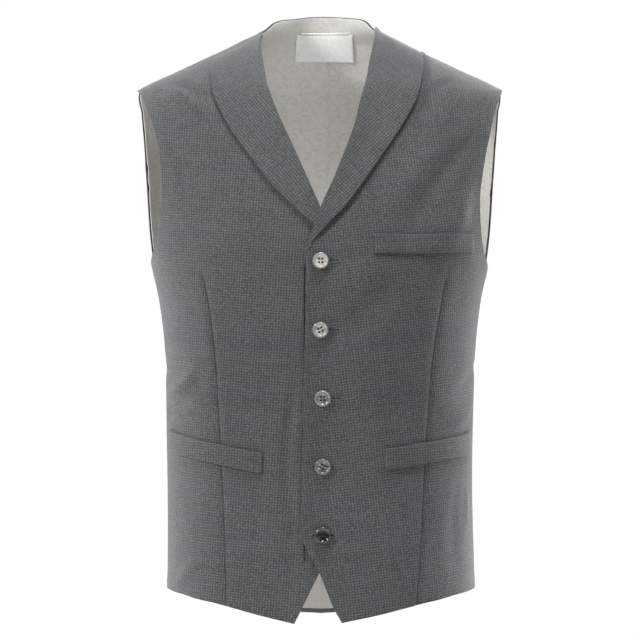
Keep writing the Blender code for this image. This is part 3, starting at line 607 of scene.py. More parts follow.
def lapel_grid(side):
    """A grid of places over a lapel, from its roll line out to its edge."""
    top = NECK_POINT_HEIGHT[side]
    roll = line_through(np.concatenate([marks_across(ROLL_LINE[side]), mirrored([(SHOULDER_ANGLE, top)], side)]))
    roll = roll[np.abs(roll[:, 0]) < LAPEL_TOP_ANGLE[side]]
    edge = marks_across(LAPEL_EDGE[side])
    heights = np.linspace(0, SHOULDER_REACH, LINE_SAMPLES)
    across = on_form(LAPEL_TOP_ANGLE[side], heights)[:, 0]
    meets = np.interp(abs(LAPEL_EDGE[side][-1][0]), across, heights)
    edge = line_through(np.concatenate([edge, mirrored([(LAPEL_TOP_ANGLE[side], meets)], side)]))
    rows, columns = LAPEL_ROWS + 1, LAPEL_COLUMNS + 1
    start, end = even(roll, rows), even(edge, rows)
    low = np.linspace(start[0], end[0], columns)
    heights = np.linspace(start[-1, 1], end[-1, 1], columns)
    high = np.stack([np.full(columns, end[-1, 0]), heights], axis=-1)
    high[0] = start[-1]
    return patch(low, high, start, end)


def welt_grid(name):
    """A grid of places over a pocket welt, from its sewn edge up."""
    across, top, bottom = np.array(WELTS[name], float).T
    edges = [line_through(marks_across(np.stack([across, height], axis=-1))) for height in (bottom, top)]
    low, high = (even(edge, WELT_COLUMNS + 1) for edge in edges)
    return np.linspace(low, high, WELT_ROWS + 1)


def inside_back_grid(centre, width, length, columns, rows):
    """A grid of places over a flat piece sewn to the back's lining."""
    across = np.linspace(centre[0] - width / MM / 2, centre[0] + width / MM / 2, columns + 1)
    heights = np.linspace(centre[1] - length / MM / 2, centre[1] + length / MM / 2, rows + 1)[:, None]
    across, heights = np.broadcast_arrays(across, heights)
    share = across / smooth(HEIGHTS, HALF_WIDTH, heights)
    angles = 180 - np.arcsin(share) / DEGREE
    return np.stack([angles, heights], axis=-1)


def standing(place, out):
    """The frame of something that stands on the form at a place, with its own +Z along the form's normal."""
    normal = normal_of(*place)
    level = np.cross((0, 0, 1), normal)
    level /= np.linalg.norm(level)
    frame = np.eye(4)
    frame[:3, :3] = np.stack([level, np.cross(normal, level), normal], axis=-1)
    frame[:3, 3] = raised(np.array(place, float), out)
    return Matrix(frame.tolist())


# ---- the cloth's own measure, and its creases ----

TABLE_ANGLES = np.arange(-195.0, 195.1, 1.0)
TABLE_HEIGHTS = np.arange(-580.0, 32.0, 2.0)
_spread = on_form(TABLE_ANGLES[None, :], TABLE_HEIGHTS[:, None])
_round = np.cumsum(np.linalg.norm(np.diff(_spread, axis=1, prepend=_spread[:, :1]), axis=2), axis=1)
ROUND_TABLE = _round - _round[:, [int(np.argmin(np.abs(TABLE_ANGLES)))]]
UP_TABLE = np.cumsum(np.linalg.norm(np.diff(_spread, axis=0, prepend=_spread[:1]), axis=2), axis=0)


def looked_up(table, angle, height):
    """A table over angles and heights, read between its entries."""
    column = np.clip((angle - TABLE_ANGLES[0]) / (TABLE_ANGLES[1] - TABLE_ANGLES[0]), 0, len(TABLE_ANGLES) - 1.001)
    row = np.clip((height - TABLE_HEIGHTS[0]) / (TABLE_HEIGHTS[1] - TABLE_HEIGHTS[0]), 0, len(TABLE_HEIGHTS) - 1.001)
    i, j = row.astype(int), column.astype(int)
    a, b = row - i, column - j
    low = table[i, j] * (1 - b) + table[i, j + 1] * b
    return low * (1 - a) + (table[i + 1, j] * (1 - b) + table[i + 1, j + 1] * b) * a


def laid_flat(places, from_back=False):
    """Where places lie on the cloth laid flat: mm round from the centre front, or the centre back, and mm up."""
    angle, height = places[..., 0], places[..., 1]
    start = looked_up(ROUND_TABLE, np.where(angle > 0, 180.0, -180.0), height) if from_back else 0.0
    return np.stack([looked_up(ROUND_TABLE, angle, height) - start, looked_up(UP_TABLE, angle, height)], axis=-1)


def creased(flat, creases, by_angle):
    """How far the creases move the cloth out (mm) at places laid flat."""
    moved = np.zeros(flat.shape[:-1])
    for start_x, start_z, end_x, end_z, width, depth in creases:
        ends = np.array([(start_x, start_z), (end_x, end_z)], float)
        ends = laid_flat(ends if by_angle else marks_across(ends))
        run = ends[1] - ends[0]
        length = np.hypot(*run)
        along = ((flat - ends[0]) @ run) / length**2
        across = (flat - ends[0]) @ np.array([-run[1], run[0]]) / length
        bowed = across - 0.06 * length * np.sin(np.pi * np.clip(along, 0, 1)) * np.sign(depth)
        spread = width * (0.75 + 0.5 * np.clip(along, 0, 1))
        fade = ease(along, -0.18, 0.35) * (1 - ease(along, 0.62, 1.2))
        share = bowed / spread
        moved += depth * fade * (1.25 - 0.5 * share**2) / 1.25 * np.exp(-0.5 * share**2)
    return moved


def drift(flat):
    """The slow waves of the cloth."""
    phases = [(high, flat[..., 0] * round_it + flat[..., 1] * up_it + 7 * high) for high, round_it, up_it in DRIFT]
    return sum(high * np.sin(phase) for high, phase in phases)


def outline_of(side, armhole, neck):
    """The armhole, shoulder and neck edges of a panel, laid flat: they keep their line."""
    shoulder = shoulder_line(side, NECK_POINT_HEIGHT[side], mirrored(armhole, side)[-1, 1])[::40]
    edges = [line_through(mirrored(armhole, side))[::20], shoulder, neck]
    return laid_flat(np.concatenate(edges))


def steadiness(flat, outline):
    """0 at the outline and 1 well inside it, for the creases."""
    nearest = np.full(flat.shape[:-1], np.inf)
    for point in outline:
        nearest = np.minimum(nearest, ((flat - point) ** 2).sum(axis=-1))
    return ease(np.sqrt(nearest), *STEADY_EDGE)


def front_relief(side, places):
    """How far the creases and waves move a front out, mm."""
    flat = laid_flat(places)
    steady = steadiness(flat, outline_of(side, ARMHOLE_FRONT[side], places[:0].reshape(-1, 2)))
    return (creased(flat, FRONT_CREASES[side], False) + drift(flat)) * steady


def back_relief(side, places):
    """How far the creases and waves move the back and its lining out, mm."""
    flat = laid_flat(places)
    neck = line_through(mirrored(BACK_NECK[side], side))[::20]
    steady = steadiness(flat, outline_of(side, ARMHOLE_BACK[side], neck))
    return (creased(flat, BACK_CREASES[side], True) + drift(flat)) * steady


# ---- meshes ----


def quads_of(rows, columns):
    """Corner numbers of a grid's faces."""
    first = (np.arange(rows - 1)[:, None] * columns + np.arange(columns - 1)[None]).reshape(-1, 1)
    return first + (0, 1, columns + 1, columns)


def shell(name, outer, inner, flat, grain, materials, inside=None):
    """A closed wall between two grids of points, with the cloth's own measure as its UVs.

    materials are those of its outside and inside; inside tells which inner faces take the second one."""
    rows, columns = outer.shape[:2]
    count = rows * columns
    quads = quads_of(rows, columns)
    rim = np.concatenate([
        np.arange(columns), np.arange(1, rows) * columns + columns - 1,
        (rows - 1) * columns + np.arange(columns - 1)[::-1], np.arange(1, rows - 1)[::-1] * columns,
    ])
    after = np.roll(rim, -1)
    sides = np.stack([after, rim, rim + count, after + count], axis=1)
    faces = np.concatenate([quads, quads[:, ::-1] + count, sides])
    points = np.concatenate([outer.reshape(-1, 3), inner.reshape(-1, 3)])
    mesh = bpy.data.meshes.new(name)
    mesh.from_pydata(points.tolist(), [], faces.tolist())
    turn = grain * DEGREE
    spin = np.array([[np.cos(turn), -np.sin(turn)], [np.sin(turn), np.cos(turn)]])
    cloth = (np.tile(flat.reshape(-1, 2), (2, 1)) @ spin.T) * MM
    corners = np.empty(len(mesh.loops), np.int64)
    mesh.loops.foreach_get("vertex_index", corners)
    mesh.uv_layers.new(name="Cloth").data.foreach_set("uv", cloth[corners].reshape(-1))
    for material in materials:
        mesh.materials.append(material)
    if len(materials) > 1:
        slots = np.zeros(len(faces), np.int32)
        slots[len(quads) : 2 * len(quads)] = 1 if inside is None else np.where(inside.reshape(-1), 1, 0)
        mesh.polygons.foreach_set("material_index", slots)
    tidy = bmesh.new()
    tidy.from_mesh(mesh)
    bmesh.ops.recalc_face_normals(tidy, faces=tidy.faces)
    tidy.to_mesh(mesh)
    tidy.free()
    mesh.shade_smooth()
    return placed(name, mesh)


def placed(name, mesh):
    """An object in the scene that holds this mesh."""
    thing = bpy.data.objects.new(name, mesh)
    bpy.context.scene.collection.objects.link(thing)
    return thing


def rounded(thing, width=EDGE_ROUNDING):
    """Rounds a wall's edges."""
    bevel = thing.modifiers.new("edges", "BEVEL")
    bevel.width = width
    bevel.segments = 2
    bevel.limit_method = "ANGLE"
    bevel.angle_limit = 55 * DEGREE


def applied(thing):
    """Applies the modifiers and keeps the result as the object's mesh."""
    bpy.context.view_layer.update()
    mesh = bpy.data.meshes.new_from_object(thing.evaluated_get(bpy.context.evaluated_depsgraph_get()))
    mesh.name = thing.name
    thing.modifiers.clear()
    thing.data = mesh
    mesh.shade_smooth()
    return thing


def stands_for(thing, material_slot, *nodes):
    """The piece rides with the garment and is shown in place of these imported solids."""
    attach(thing, "root")
    if nodes:
        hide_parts(*nodes)
    return thing


def edge_distance(grid):
    """How far each point of a grid is from its nearest edge, in mm, for grids of flat places."""
    steps_up = np.linalg.norm(np.diff(grid, axis=0), axis=2)
    steps_out = np.linalg.norm(np.diff(grid, axis=1), axis=2)
    below = np.concatenate([np.zeros((1, grid.shape[1])), np.cumsum(steps_up, axis=0)])
    before = np.concatenate([np.zeros((grid.shape[0], 1)), np.cumsum(steps_out, axis=1)], axis=1)
    return below, below[-1:] - below, before, before[:, -1:] - before


# ---- materials ----


class Recipe:
    """A material's node tree, built a node at a time."""

    def __init__(self, name, **finish):
        self.material = bpy.data.materials.new(name)
        self.material.use_nodes = True
        self.tree = self.material.node_tree
        self.shader = self.tree.nodes["Principled BSDF"]
        for socket, value in finish.items():
            self.shader.inputs[socket.replace("_", " ").title().replace("Ior", "IOR")].default_value = value

    def node(self, kind, inputs=(), **settings):
        made = self.tree.nodes.new("ShaderNode" + kind)
        for setting, value in settings.items():
            setattr(made, setting, value)
        for socket, value in dict(inputs).items():
            self.feed(made.inputs[socket], value)
        return made

    def feed(self, socket, value):
        if isinstance(value, bpy.types.NodeSocket):
            self.tree.links.new(value, socket)
        else:
            socket.default_value = value

    def math(self, how, *values):
        return self.node("Math", enumerate(values), operation=how).outputs[0]

    def mapped(self, value, low, high, to_low=0.0, to_high=1.0):
        inputs = {"Value": value, "From Min": low, "From Max": high, "To Min": to_low, "To Max": to_high}
        return self.node("MapRange", inputs, interpolation_type="SMOOTHSTEP").outputs[0]

    def mix(self, share, first, second, how="MIX"):
        colours = [(*c, 1.0) if isinstance(c, tuple) and len(c) == 3 else c for c in (first, second)]
        inputs = {0: share, 6: colours[0], 7: colours[1]}
        return self.node("Mix", inputs, data_type="RGBA", blend_type=how).outputs[2]

    def cloth(self):
        """The cloth's own measure: its place, and mm round and up it as two numbers."""
        place = self.node("UVMap", uv_map="Cloth").outputs["UV"]
        parts = self.node("SeparateXYZ", {"Vector": place})
        return place, self.math("DIVIDE", parts.outputs[0], MM), self.math("DIVIDE", parts.outputs[1], MM)

    def place(self, across, up, deep=0.0):
        return self.node("CombineXYZ", {"X": across, "Y": up, "Z": deep}).outputs[0]

    def noise(self, place, scale, detail=2.0, rough=0.5):
        inputs = {"Vector": place, "Scale": scale, "Detail": detail, "Roughness": rough}
        return self.node("TexNoise", inputs, noise_dimensions="3D").outputs["Fac"]

    def chance(self, value):
        return self.node("TexWhiteNoise", {"W": value}, noise_dimensions="1D").outputs["Value"]

    def wave(self, value, period):
        """0 to 1 and back over each period."""
        turn = self.math("MULTIPLY", value, 2 * np.pi / period)
        return self.math("MULTIPLY_ADD", self.math("COSINE", turn), 0.5, 0.5)

    def colour(self, value):
        self.feed(self.shader.inputs["Base Color"], value)

    def bump(self, height, distance, strength=1.0):
        made = self.node("Bump", {"Height": height, "Distance": distance, "Strength": strength})
        self.feed(self.shader.inputs["Normal"], made.outputs[0])


def suiting():
    """Grey worsted with an uneven light check of blue, olive and violet threads."""
    r = Recipe("suiting", roughness=0.86, sheen_weight=0.42, sheen_roughness=0.45, specular_ior_level=0.22)
    r.shader.inputs["Sheen Tint"].default_value = (0.95, 0.98, 1.0, 1.0)
    place, across, up = r.cloth()
    wander = r.noise(place, 60.0, 2.0)
    light = (0.135, 0.141, 0.141)
    tints = ((0.066, 0.082, 0.118), (0.112, 0.116, 0.086), (0.104, 0.092, 0.116))
    colour = r.mix(r.mapped(r.noise(place, 1300.0, 3.0), 0.3, 0.7), (0.018, 0.0195, 0.020), (0.040, 0.0425, 0.043))
    heights = []
    for value, period, other in ((across, CHECK_ROUND / MM, up), (up, CHECK_UP / MM, across)):
        shifted = r.math("MULTIPLY_ADD", wander, 0.5, value)
        number = r.math("ROUND", r.math("DIVIDE", shifted, period))
        line = r.math("POWER", r.wave(shifted, period), 1.7)
        which = r.chance(number)
        worn = r.noise(r.place(number, r.math("MULTIPLY", other, 0.8), which), 1.0, 2.0)
        thread = r.mix(r.mapped(which, 0.25, 0.40), light, tints[0])
        thread = r.mix(r.mapped(which, 0.55, 0.62), thread, tints[1])
        thread = r.mix(r.mapped(which, 0.80, 0.86), thread, tints[2])
        thread = r.mix(r.mapped(worn, 0.44, 0.60), thread, light)
        strength = r.math("MULTIPLY", line, r.mapped(worn, 0.36, 0.64, 0.15, 0.90))
        colour = r.mix(strength, colour, thread)
        heights.append(strength)
    twill = r.wave(r.math("ADD", across, up), 0.62)
    yarn = r.wave(r.math("MULTIPLY_ADD", up, 0.35, across), 0.41)
    fine = r.math("MULTIPLY", r.math("ADD", twill, yarn), 0.5)
    colour = r.mix(r.math("MULTIPLY", fine, 0.22), colour, (0.105, 0.11, 0.11))
    cloudy = r.noise(place, 14.0, 3.0)
    colour = r.mix(r.mapped(cloudy, 0.35, 0.65, 0.0, 0.10), colour, (0.02, 0.02, 0.022))
    r.colour(colour)
    relief = r.math("ADD", r.math("MULTIPLY", fine, 0.5), r.math("ADD", heights[0], heights[1]))
    r.bump(relief, 0.16 * MM, 0.8)
    return r.material


def lining():
    """Ivory satin with a faint scroll woven in, and painted shade that darkens it towards the hem."""
    r = Recipe("lining", roughness=0.36, sheen_weight=0.25, sheen_roughness=0.4, specular_ior_level=0.45)
    place, across, up = r.cloth()
    figure = 0.0
    for wide, tall, shift_x, shift_y, arms, turn in ((26, 36, 0, 0, 1, 1.0), (26, 36, 13, 18, 1, -1.0)):
        row = r.math("ROUND", r.math("DIVIDE", r.math("ADD", up, shift_y), tall))
        x = r.math("SUBTRACT", r.math("PINGPONG", r.math("ADD", across, shift_x + 1000 * wide), wide), wide / 2)
        y = r.math("SUBTRACT", r.math("ADD", up, shift_y), r.math("MULTIPLY", row, tall))
        reach = r.math("SQRT", r.math("ADD", r.math("MULTIPLY", x, x), r.math("MULTIPLY", y, y)))
        angle = r.math("ARCTAN2", y, x)
        swirl = r.math("MULTIPLY_ADD", r.math("POWER", r.math("MAXIMUM", reach, 0.3), 0.72), 1.9 * turn, angle)
        arm = r.mapped(r.math("SINE", r.math("MULTIPLY", swirl, arms)), 0.80, 0.97)
        inside = r.mapped(reach, 6.5, 8.5, 1.0, 0.0)
        eye = r.mapped(reach, 0.8, 1.3, 1.0, 0.0)
        leaf_angle = r.math("COSINE", r.math("MULTIPLY", angle, 5.0))
        leaf_edge = r.math("MULTIPLY_ADD", leaf_angle, 1.8, 9.6)
        leaf = r.math("MULTIPLY", r.mapped(r.math("ABSOLUTE", r.math("SUBTRACT", reach, leaf_edge)), 0.2, 0.6, 1.0, 0.0),
                      r.mapped(leaf_angle, -0.2, 0.1))
        drawn = r.math("MAXIMUM", r.math("MAXIMUM", r.math("MULTIPLY", arm, inside), eye), leaf)
        figure = r.math("MAXIMUM", figure, drawn)
    vine_x = r.math("MULTIPLY", r.math("SINE", r.math("MULTIPLY", up, 2 * np.pi / 36)), 6.0)
    vine = r.math("SUBTRACT", r.math("PINGPONG", r.math("ADD", r.math("ADD", across, vine_x), 26000.0), 26.0), 13.0)
    vine = r.mapped(r.math("ABSOLUTE", vine), 0.2, 0.6, 1.0, 0.0)
    figure = r.math("MAXIMUM", figure, vine)
    threads = r.wave(up, 0.34)
    grainy = r.noise(r.place(r.math("MULTIPLY", across, 0.12), r.math("MULTIPLY", up, 1.6)), 1.0, 2.0)
    ground = r.mix(r.mapped(grainy, 0.3, 0.7), (0.60, 0.588, 0.552), (0.70, 0.686, 0.648))
    # Painted shade: the ground darkens towards the hem, where the inside of the garment lies in shadow.
    ground = r.mix(r.mapped(up, 60.0, 240.0, 0.62, 0.0), ground, (0.27, 0.257, 0.222))
    r.colour(r.mix(r.math("MULTIPLY", figure, 0.30), ground, (0.34, 0.335, 0.32)))
    r.feed(r.shader.inputs["Roughness"], r.mapped(figure, 0.0, 1.0, 0.34, 0.58))
    r.bump(r.math("MULTIPLY_ADD", figure, 0.8, r.math("MULTIPLY", threads, 0.5)), 0.05 * MM, 0.6)
    return r.material


def back_satin():
    """Dark grey satin-faced back cloth."""
    r = Recipe("back_satin", roughness=0.42, sheen_weight=0.2, sheen_roughness=0.4, specular_ior_level=0.5)
    place, across, up = r.cloth()
    slub = r.noise(r.place(r.math("MULTIPLY", across, 1.8), r.math("MULTIPLY", up, 0.06)), 1.0, 3.0)
    r.colour(r.mix(r.mapped(slub, 0.3, 0.7), (0.040, 0.041, 0.043), (0.062, 0.063, 0.066)))
    fine = r.math("ADD", r.wave(r.math("ADD", across, r.math("MULTIPLY", up, 0.5)), 0.37), slub)
    r.bump(fine, 0.05 * MM, 0.7)
    return r.material


def label_satin():
    """Plain white satin ribbon."""
    r = Recipe("label", roughness=0.38, sheen_weight=0.2, sheen_roughness=0.4, specular_ior_level=0.45)
    place, across, up = r.cloth()
    rib = r.wave(up, 0.42)
    faint = r.noise(place, 260.0, 3.0)
    r.colour(r.mix(r.mapped(faint, 0.3, 0.7), (0.86, 0.86, 0.85), (0.93, 0.93, 0.92)))
    r.bump(r.math("ADD", rib, r.math("MULTIPLY", faint, 0.4)), 0.05 * MM, 0.8)
    return r.material


def horn(name, dark, light, share, rim, roughness=0.16):
    """Polished imitation horn or shell: two colours in smoky streaks, and a third round the rim, which is painted
    shade where it is darker than the body and a painted highlight where it is lighter.
    """
    r = Recipe(name, roughness=roughness, specular_ior_level=0.6, coat_weight=0.6, coat_roughness=0.08)
    place = r.node("TexCoord").outputs["Object"]
    smoke = r.noise(r.node("Mapping", {"Vector": place, "Scale": (1.0, 2.4, 1.0)}).outputs[0], 260.0, 4.0, 0.62)
    streak = r.noise(place, 900.0, 3.0, 0.7)
    mottle = r.mapped(r.math("MULTIPLY_ADD", streak, 0.25, smoke), share - 0.14, share + 0.16)
    spot = r.node("SeparateXYZ", {"Vector": place})
    reach = r.math("SQRT", r.math("ADD", r.math("POWER", spot.outputs[0], 2.0), r.math("POWER", spot.outputs[1], 2.0)))
    # The rim's colour is painted on the rounded edge: painted shade on four buttons, a lighter painted highlight ring
    # on the darkest one.
    edge = r.mapped(r.math("DIVIDE", reach, MM), 5.0, 6.9)
    r.colour(r.mix(r.math("MULTIPLY", edge, 0.85), r.mix(mottle, light, dark), rim))
    r.bump(streak, 0.02 * MM, 0.4)
    return r.material


def thread(name, colour):
    """Twisted sewing thread."""
    r = Recipe(name, roughness=0.7, sheen_weight=0.4, sheen_roughness=0.5, specular_ior_level=0.3)
    place = r.node("TexCoord").outputs["Object"]
    twist = r.noise(place, 2500.0, 2.0)
    r.colour(r.mix(r.mapped(twist, 0.3, 0.7), tuple(0.7 * part for part in colour), colour))
    r.bump(twist, 0.08 * MM, 0.8)
    return r.material


def painted(name, colour, roughness):
    """A plain surface with a little unevenness, for the floor."""
    r = Recipe(name, roughness=roughness)
    place = r.node("TexCoord").outputs["Object"]
    r.colour(r.mix(r.mapped(r.noise(place, 3.0), 0.3, 0.7), colour, tuple(0.98 * part for part in colour)))
    return r.material


SUITING, LINING, BACK_SATIN, LABEL = suiting(), lining(), back_satin(), label_satin()
THREAD = thread("thread", (0.075, 0.08, 0.082))
# Near-black thread for the button shanks, also used for the dark tubes of painted shade along seams, edges, pocket
# mouths and buttonhole slots, and in the button holes.
DARK_THREAD_AND_SHADE = thread("dark_thread_and_shade", (0.012, 0.013, 0.014))
# One grey horn in five tones. The fourth's strong dark and light streaks are partly painted reflection, and the
# fifth's near-black body is painted shade and dark reflection. The last colour of each is painted shade round its rim,
# lighter than the body on the fifth as a painted highlight.
HORNS = (
    horn("horn_ivory", (0.34, 0.32, 0.27), (0.60, 0.585, 0.53), 0.60, (0.20, 0.19, 0.17)),
    horn("horn_pearl", (0.26, 0.26, 0.245), (0.62, 0.61, 0.56), 0.54, (0.16, 0.16, 0.15)),
    horn("horn_smoke", (0.12, 0.12, 0.118), (0.46, 0.46, 0.43), 0.50, (0.20, 0.20, 0.19)),
    horn("horn_mottled_reflection", (0.07, 0.07, 0.07), (0.60, 0.59, 0.55), 0.50, (0.13, 0.13, 0.12)),
    horn("horn_shaded", (0.006, 0.006, 0.007), (0.030, 0.030, 0.030), 0.50, (0.055, 0.055, 0.052), 0.10),
)


# ---- the fronts ----


def closed_seam(distance):
    """How far the cloth sinks beside a seam, mm."""
    return -SEAM_DEPTH * np.exp(-((distance / SEAM_HALF_WIDTH) ** 2))


def front_cloth(side):
    """One front: outer cloth, facing and lining, with its dart sewn shut and its edges turned under."""
    before, behind = front_grid(side)
    grid = np.concatenate([before, behind[:, 1:]], axis=1)
    flat = laid_flat(grid)
    below, above, inward, outward = edge_distance(flat)
    dart_column = before.shape[1] - 1
    to_dart = np.abs(inward - inward[:, dart_column : dart_column + 1])
    dart_top = sum(DART_ROWS[:3])
    dart_fade = 1 - ease(np.arange(grid.shape[0]), dart_top - 4, dart_top + 3)
    relief = front_relief(side, grid) + sheet_lift(side, grid)
    relief += closed_seam(to_dart) * dart_fade[:, None]
    side_rows = sum(SIDE_ROWS[:2])
    side_fade = 1 - ease(np.arange(grid.shape[0]), side_rows - 3, side_rows + 1)
    relief += closed_seam(outward) * side_fade[:, None]
    relief += HEM_FOLD * (1 - ease(inward, 4, 9)) + HEM_FOLD * (1 - ease(below, 8, 16))
    if side == "left":
        relief += edge_curl(inward)
    relief -= 0.5 * np.exp(-((above / 2.0) ** 2))
    outer, inner = raised(grid, 0.0, relief), raised(grid, -FRONT_WALL, relief)
    columns = np.arange(grid.shape[1] - 1)[None]
    faced = np.broadcast_to(columns < FACING_SHARE * dart_column, (grid.shape[0] - 1, grid.shape[1] - 1))
    cloth = shell(f"front_cloth_{side}", outer, inner, flat, GRAIN[side], (SUITING, LINING), ~faced)
    rounded(cloth)
    return cloth


def edge_curl(inward):
    """How far the left front's edge curls out at a distance from it, mm."""
    return EDGE_CURL * np.exp(-((inward / 6.0) ** 2))


def lapel_cloth(side):
    """A lapel, standing up a little along its roll and off the front along its edge."""
    grid = lapel_grid(side)
    flat = laid_flat(grid)
    below, above, inward, outward = edge_distance(flat)
    relief = front_relief(side, grid) + sheet_lift(side, grid)
    relief += LAPEL_ROLL * np.exp(-((inward / LAPEL_ROLL_WIDTH) ** 2)) * ease(below, 4, 60) * ease(above, 6, 60)
    relief += LAPEL_EDGE_LIFT * np.exp(-((outward / LAPEL_EDGE_WIDTH) ** 2)) * ease(below, 0, 40) * ease(above, 8, 60)
    relief -= 1.8 * (1 - ease(above, 2, 24))
    for high, often, start in LAPEL_WAVES:
        relief += high * np.sin(often * below + start) * ease(inward, 6, 40) * ease(above, 6, 60)
    out = (TRIM_GAP + LAPEL_WALL) / MM
    outer, inner = raised(grid, 0.0, relief + out), raised(grid, -LAPEL_WALL, relief + out)
    cloth = shell(f"lapel_cloth_{side}", outer, inner, flat, LAPEL_GRAIN[side], (SUITING,))
    rounded(cloth)
    return cloth


def welt_cloth(name):
    """A pocket welt, plumper along its top fold."""
    side = "right" if name == "welt_right" else "left"
    grid = welt_grid(name)
    flat = laid_flat(grid)
    below, above, inward, outward = edge_distance(flat)
    ends = np.minimum(inward, outward)
    relief = front_relief(side, grid) + sheet_lift(side, grid)
    relief += 0.45 * ease(above, 0, 2.5) * ease(below, 0, 2.5) - 0.25 * np.exp(-(((below - 2.2) / 0.7) ** 2))
    relief -= 0.45 * np.exp(-((ends / 1.6) ** 2)) + 0.2 * np.exp(-(((ends - 3.0) / 0.7) ** 2))
    out = (TRIM_GAP + WELT_WALL) / MM
    outer, inner = raised(grid, 0.0, relief + out), raised(grid, -WELT_WALL, relief + out)
    cloth = shell(f"{name}_cloth", outer, inner, flat, GRAIN[side] * 0.5, (SUITING,))
    rounded(cloth)
    return cloth


def back_cloth(side):
    """One half of the back."""
    grid = back_grid(side)
    flat = laid_flat(grid)
    below, above, inward, outward = edge_distance(flat)
    rows = np.arange(grid.shape[0])[:, None]
    relief = back_relief(side, grid)
    relief += closed_seam(inward) * (1 - ease(rows, sum(MIDDLE_ROWS[:2]) - 3, sum(MIDDLE_ROWS[:2])))
    relief += closed_seam(outward) * (1 - ease(rows, FLANK_ROWS[0] - 3, FLANK_ROWS[0] + 1))
    relief += HEM_FOLD * (1 - ease(below, 8, 16)) - 0.5 * np.exp(-((above / 2.0) ** 2))
    outer, inner = raised(grid, 0.0, relief), raised(grid, -BACK_WALL, relief)
    cloth = shell(f"back_cloth_{side}", outer, inner, laid_flat(grid, True), 0.0, (BACK_SATIN,))
    rounded(cloth, 0.3 * MM)
    return cloth


def lining_cloth(side):
    """The lining of one half of the back."""
    grid = lining_grid(side)
    flat = laid_flat(grid)
    below, above, inward, outward = edge_distance(flat)
    rows = np.arange(grid.shape[0])[:, None]
    relief = back_relief(side, grid) + np.minimum(creased(flat, LINING_CREASES[side], True), 0.0)
    relief -= np.maximum(creased(flat, LINING_CREASES[side], True), 0.0)
    relief += 0.3 * np.exp(-((inward / 1.6) ** 2)) * (1 - ease(rows, sum(MIDDLE_ROWS[:2]) - 3, sum(MIDDLE_ROWS[:2])))
    out = -(BACK_WALL + LINING_GAP) / MM
    outer, inner = raised(grid, 0.0, relief + out - 0.3), raised(grid, -LINING_WALL, relief + out)
    cloth = shell(f"lining_cloth_{side}", outer, inner, laid_flat(grid, True), 0.0, (LINING,))
    rounded(cloth, 0.3 * MM)
    return cloth


def inside_trim(name, centre, width, length, columns, rows, material, plump):
    """A small flat piece sewn inside the back of the neck."""
    grid = inside_back_grid(centre, width, length, columns, rows)
    flat = laid_flat(grid)
    below, above, inward, outward = edge_distance(flat)
    ends = np.minimum(np.minimum(inward, outward), np.minimum(below, above))
    out = -(BACK_WALL + LINING_GAP + LINING_WALL + LABEL_GAP) / MM
    relief = out + drift(flat) - plump * ease(ends, 0.2, 1.6)
    outer, inner = raised(grid, 0.0, relief), raised(grid, -LABEL_WALL, relief)
    piece = shell(f"{name}_cloth", outer, inner, laid_flat(grid, True), 0.0, (material,))
    rounded(piece, 0.25 * MM)
    return piece


# ---- buttons, buttonholes, stitches and lines of painted shade ----


def painted_shade_line(name, side, line, out=0.0, radius=SHADE_LINE_RADIUS, stands=None):
    """A dark tube of painted shade that lies on a front along a line of places, out (mm) from its outer face."""
    lift = sheet_lift(side, line) + front_relief(side, line) + out
    points = raised(line, 0.0, lift)
    return stands_for(tube(points, radius, DARK_THREAD_AND_SHADE, name), "thread")


def pocket_shade_lines(name):
    """Painted shade along the mouth of a pocket above its welt, the seam below it, and its ends."""
    side = "right" if name == "welt_right" else "left"
    grid = welt_grid(name)
    ends = [(grid[:, 0], "inner"), (grid[:, -1], "outer"), (grid[-1], "mouth"), (grid[0], "foot")]
    for line, part in ends:
        line = line + (0, {"mouth": 0.55, "foot": -0.45}.get(part, 0))
        painted_shade_line(f"{name}_{part}", side, line, 0.9 if part == "mouth" else 0.4)


def edge_shade_lines(side):
    """Painted shade where a lapel's edge meets the front, and where the left front's edge meets the right front."""
    rim = lapel_grid(side)[:, -1]
    painted_shade_line(f"lapel_line_{side}", side, rim, 0.45)
    if side == "right":
        heights = np.linspace(EDGE_SHADE_LINE[0], EDGE_SHADE_LINE[1], 160)
        below = marks_across(np.stack([np.full(160, EDGE_SHADE_LINE[2]), heights], axis=-1))
        painted_shade_line("edge_line", side, below, 0.35)


def dart_shade_line(side):
    """Painted shade along a dart's seam, with a thicker line near its top."""
    before, _ = front_grid(side)
    rows = sum(DART_ROWS[:3])
    line = before[: rows + 1, -1]
    painted_shade_line(f"dart_{side}", side, line, 0.25 - SEAM_DEPTH, 0.7 * SHADE_LINE_RADIUS)
    painted_shade_line(f"dart_top_{side}", side, line[-2 * FINE - 14 :], 0.45 - SEAM_DEPTH)


def tube(points, radius, material, name, sides=6):
    """A closed thread along the points."""
    points = np.asarray(points, float)
    ahead = np.gradient(points, axis=0)
    ahead /= np.linalg.norm(ahead, axis=1, keepdims=True)
    side = np.cross(ahead, (0.13, 0.31, 0.94))
    side /= np.linalg.norm(side, axis=1, keepdims=True)
    up = np.cross(side, ahead)
    turn = np.arange(sides) * 2 * np.pi / sides
    ring = side[:, None] * np.cos(turn)[None, :, None] + up[:, None] * np.sin(turn)[None, :, None]
    rings = points[:, None] + radius * ring
    mesh = bpy.data.meshes.new(name)
    steps = np.arange(len(points) - 1)[:, None] * sides
    around = np.arange(sides)[None]
    following = (np.arange(sides) + 1)[None] % sides
    faces = np.stack([steps + around, steps + following, steps + sides + following, steps + sides + around], axis=-1)
    caps = [list(range(sides))[::-1], [len(rings) * sides - sides + k for k in range(sides)]]
    mesh.from_pydata(rings.reshape(-1, 3).tolist(), [], faces.reshape(-1, 4).tolist() + caps)
    mesh.materials.append(material)
    mesh.shade_smooth()
    return placed(name, mesh)


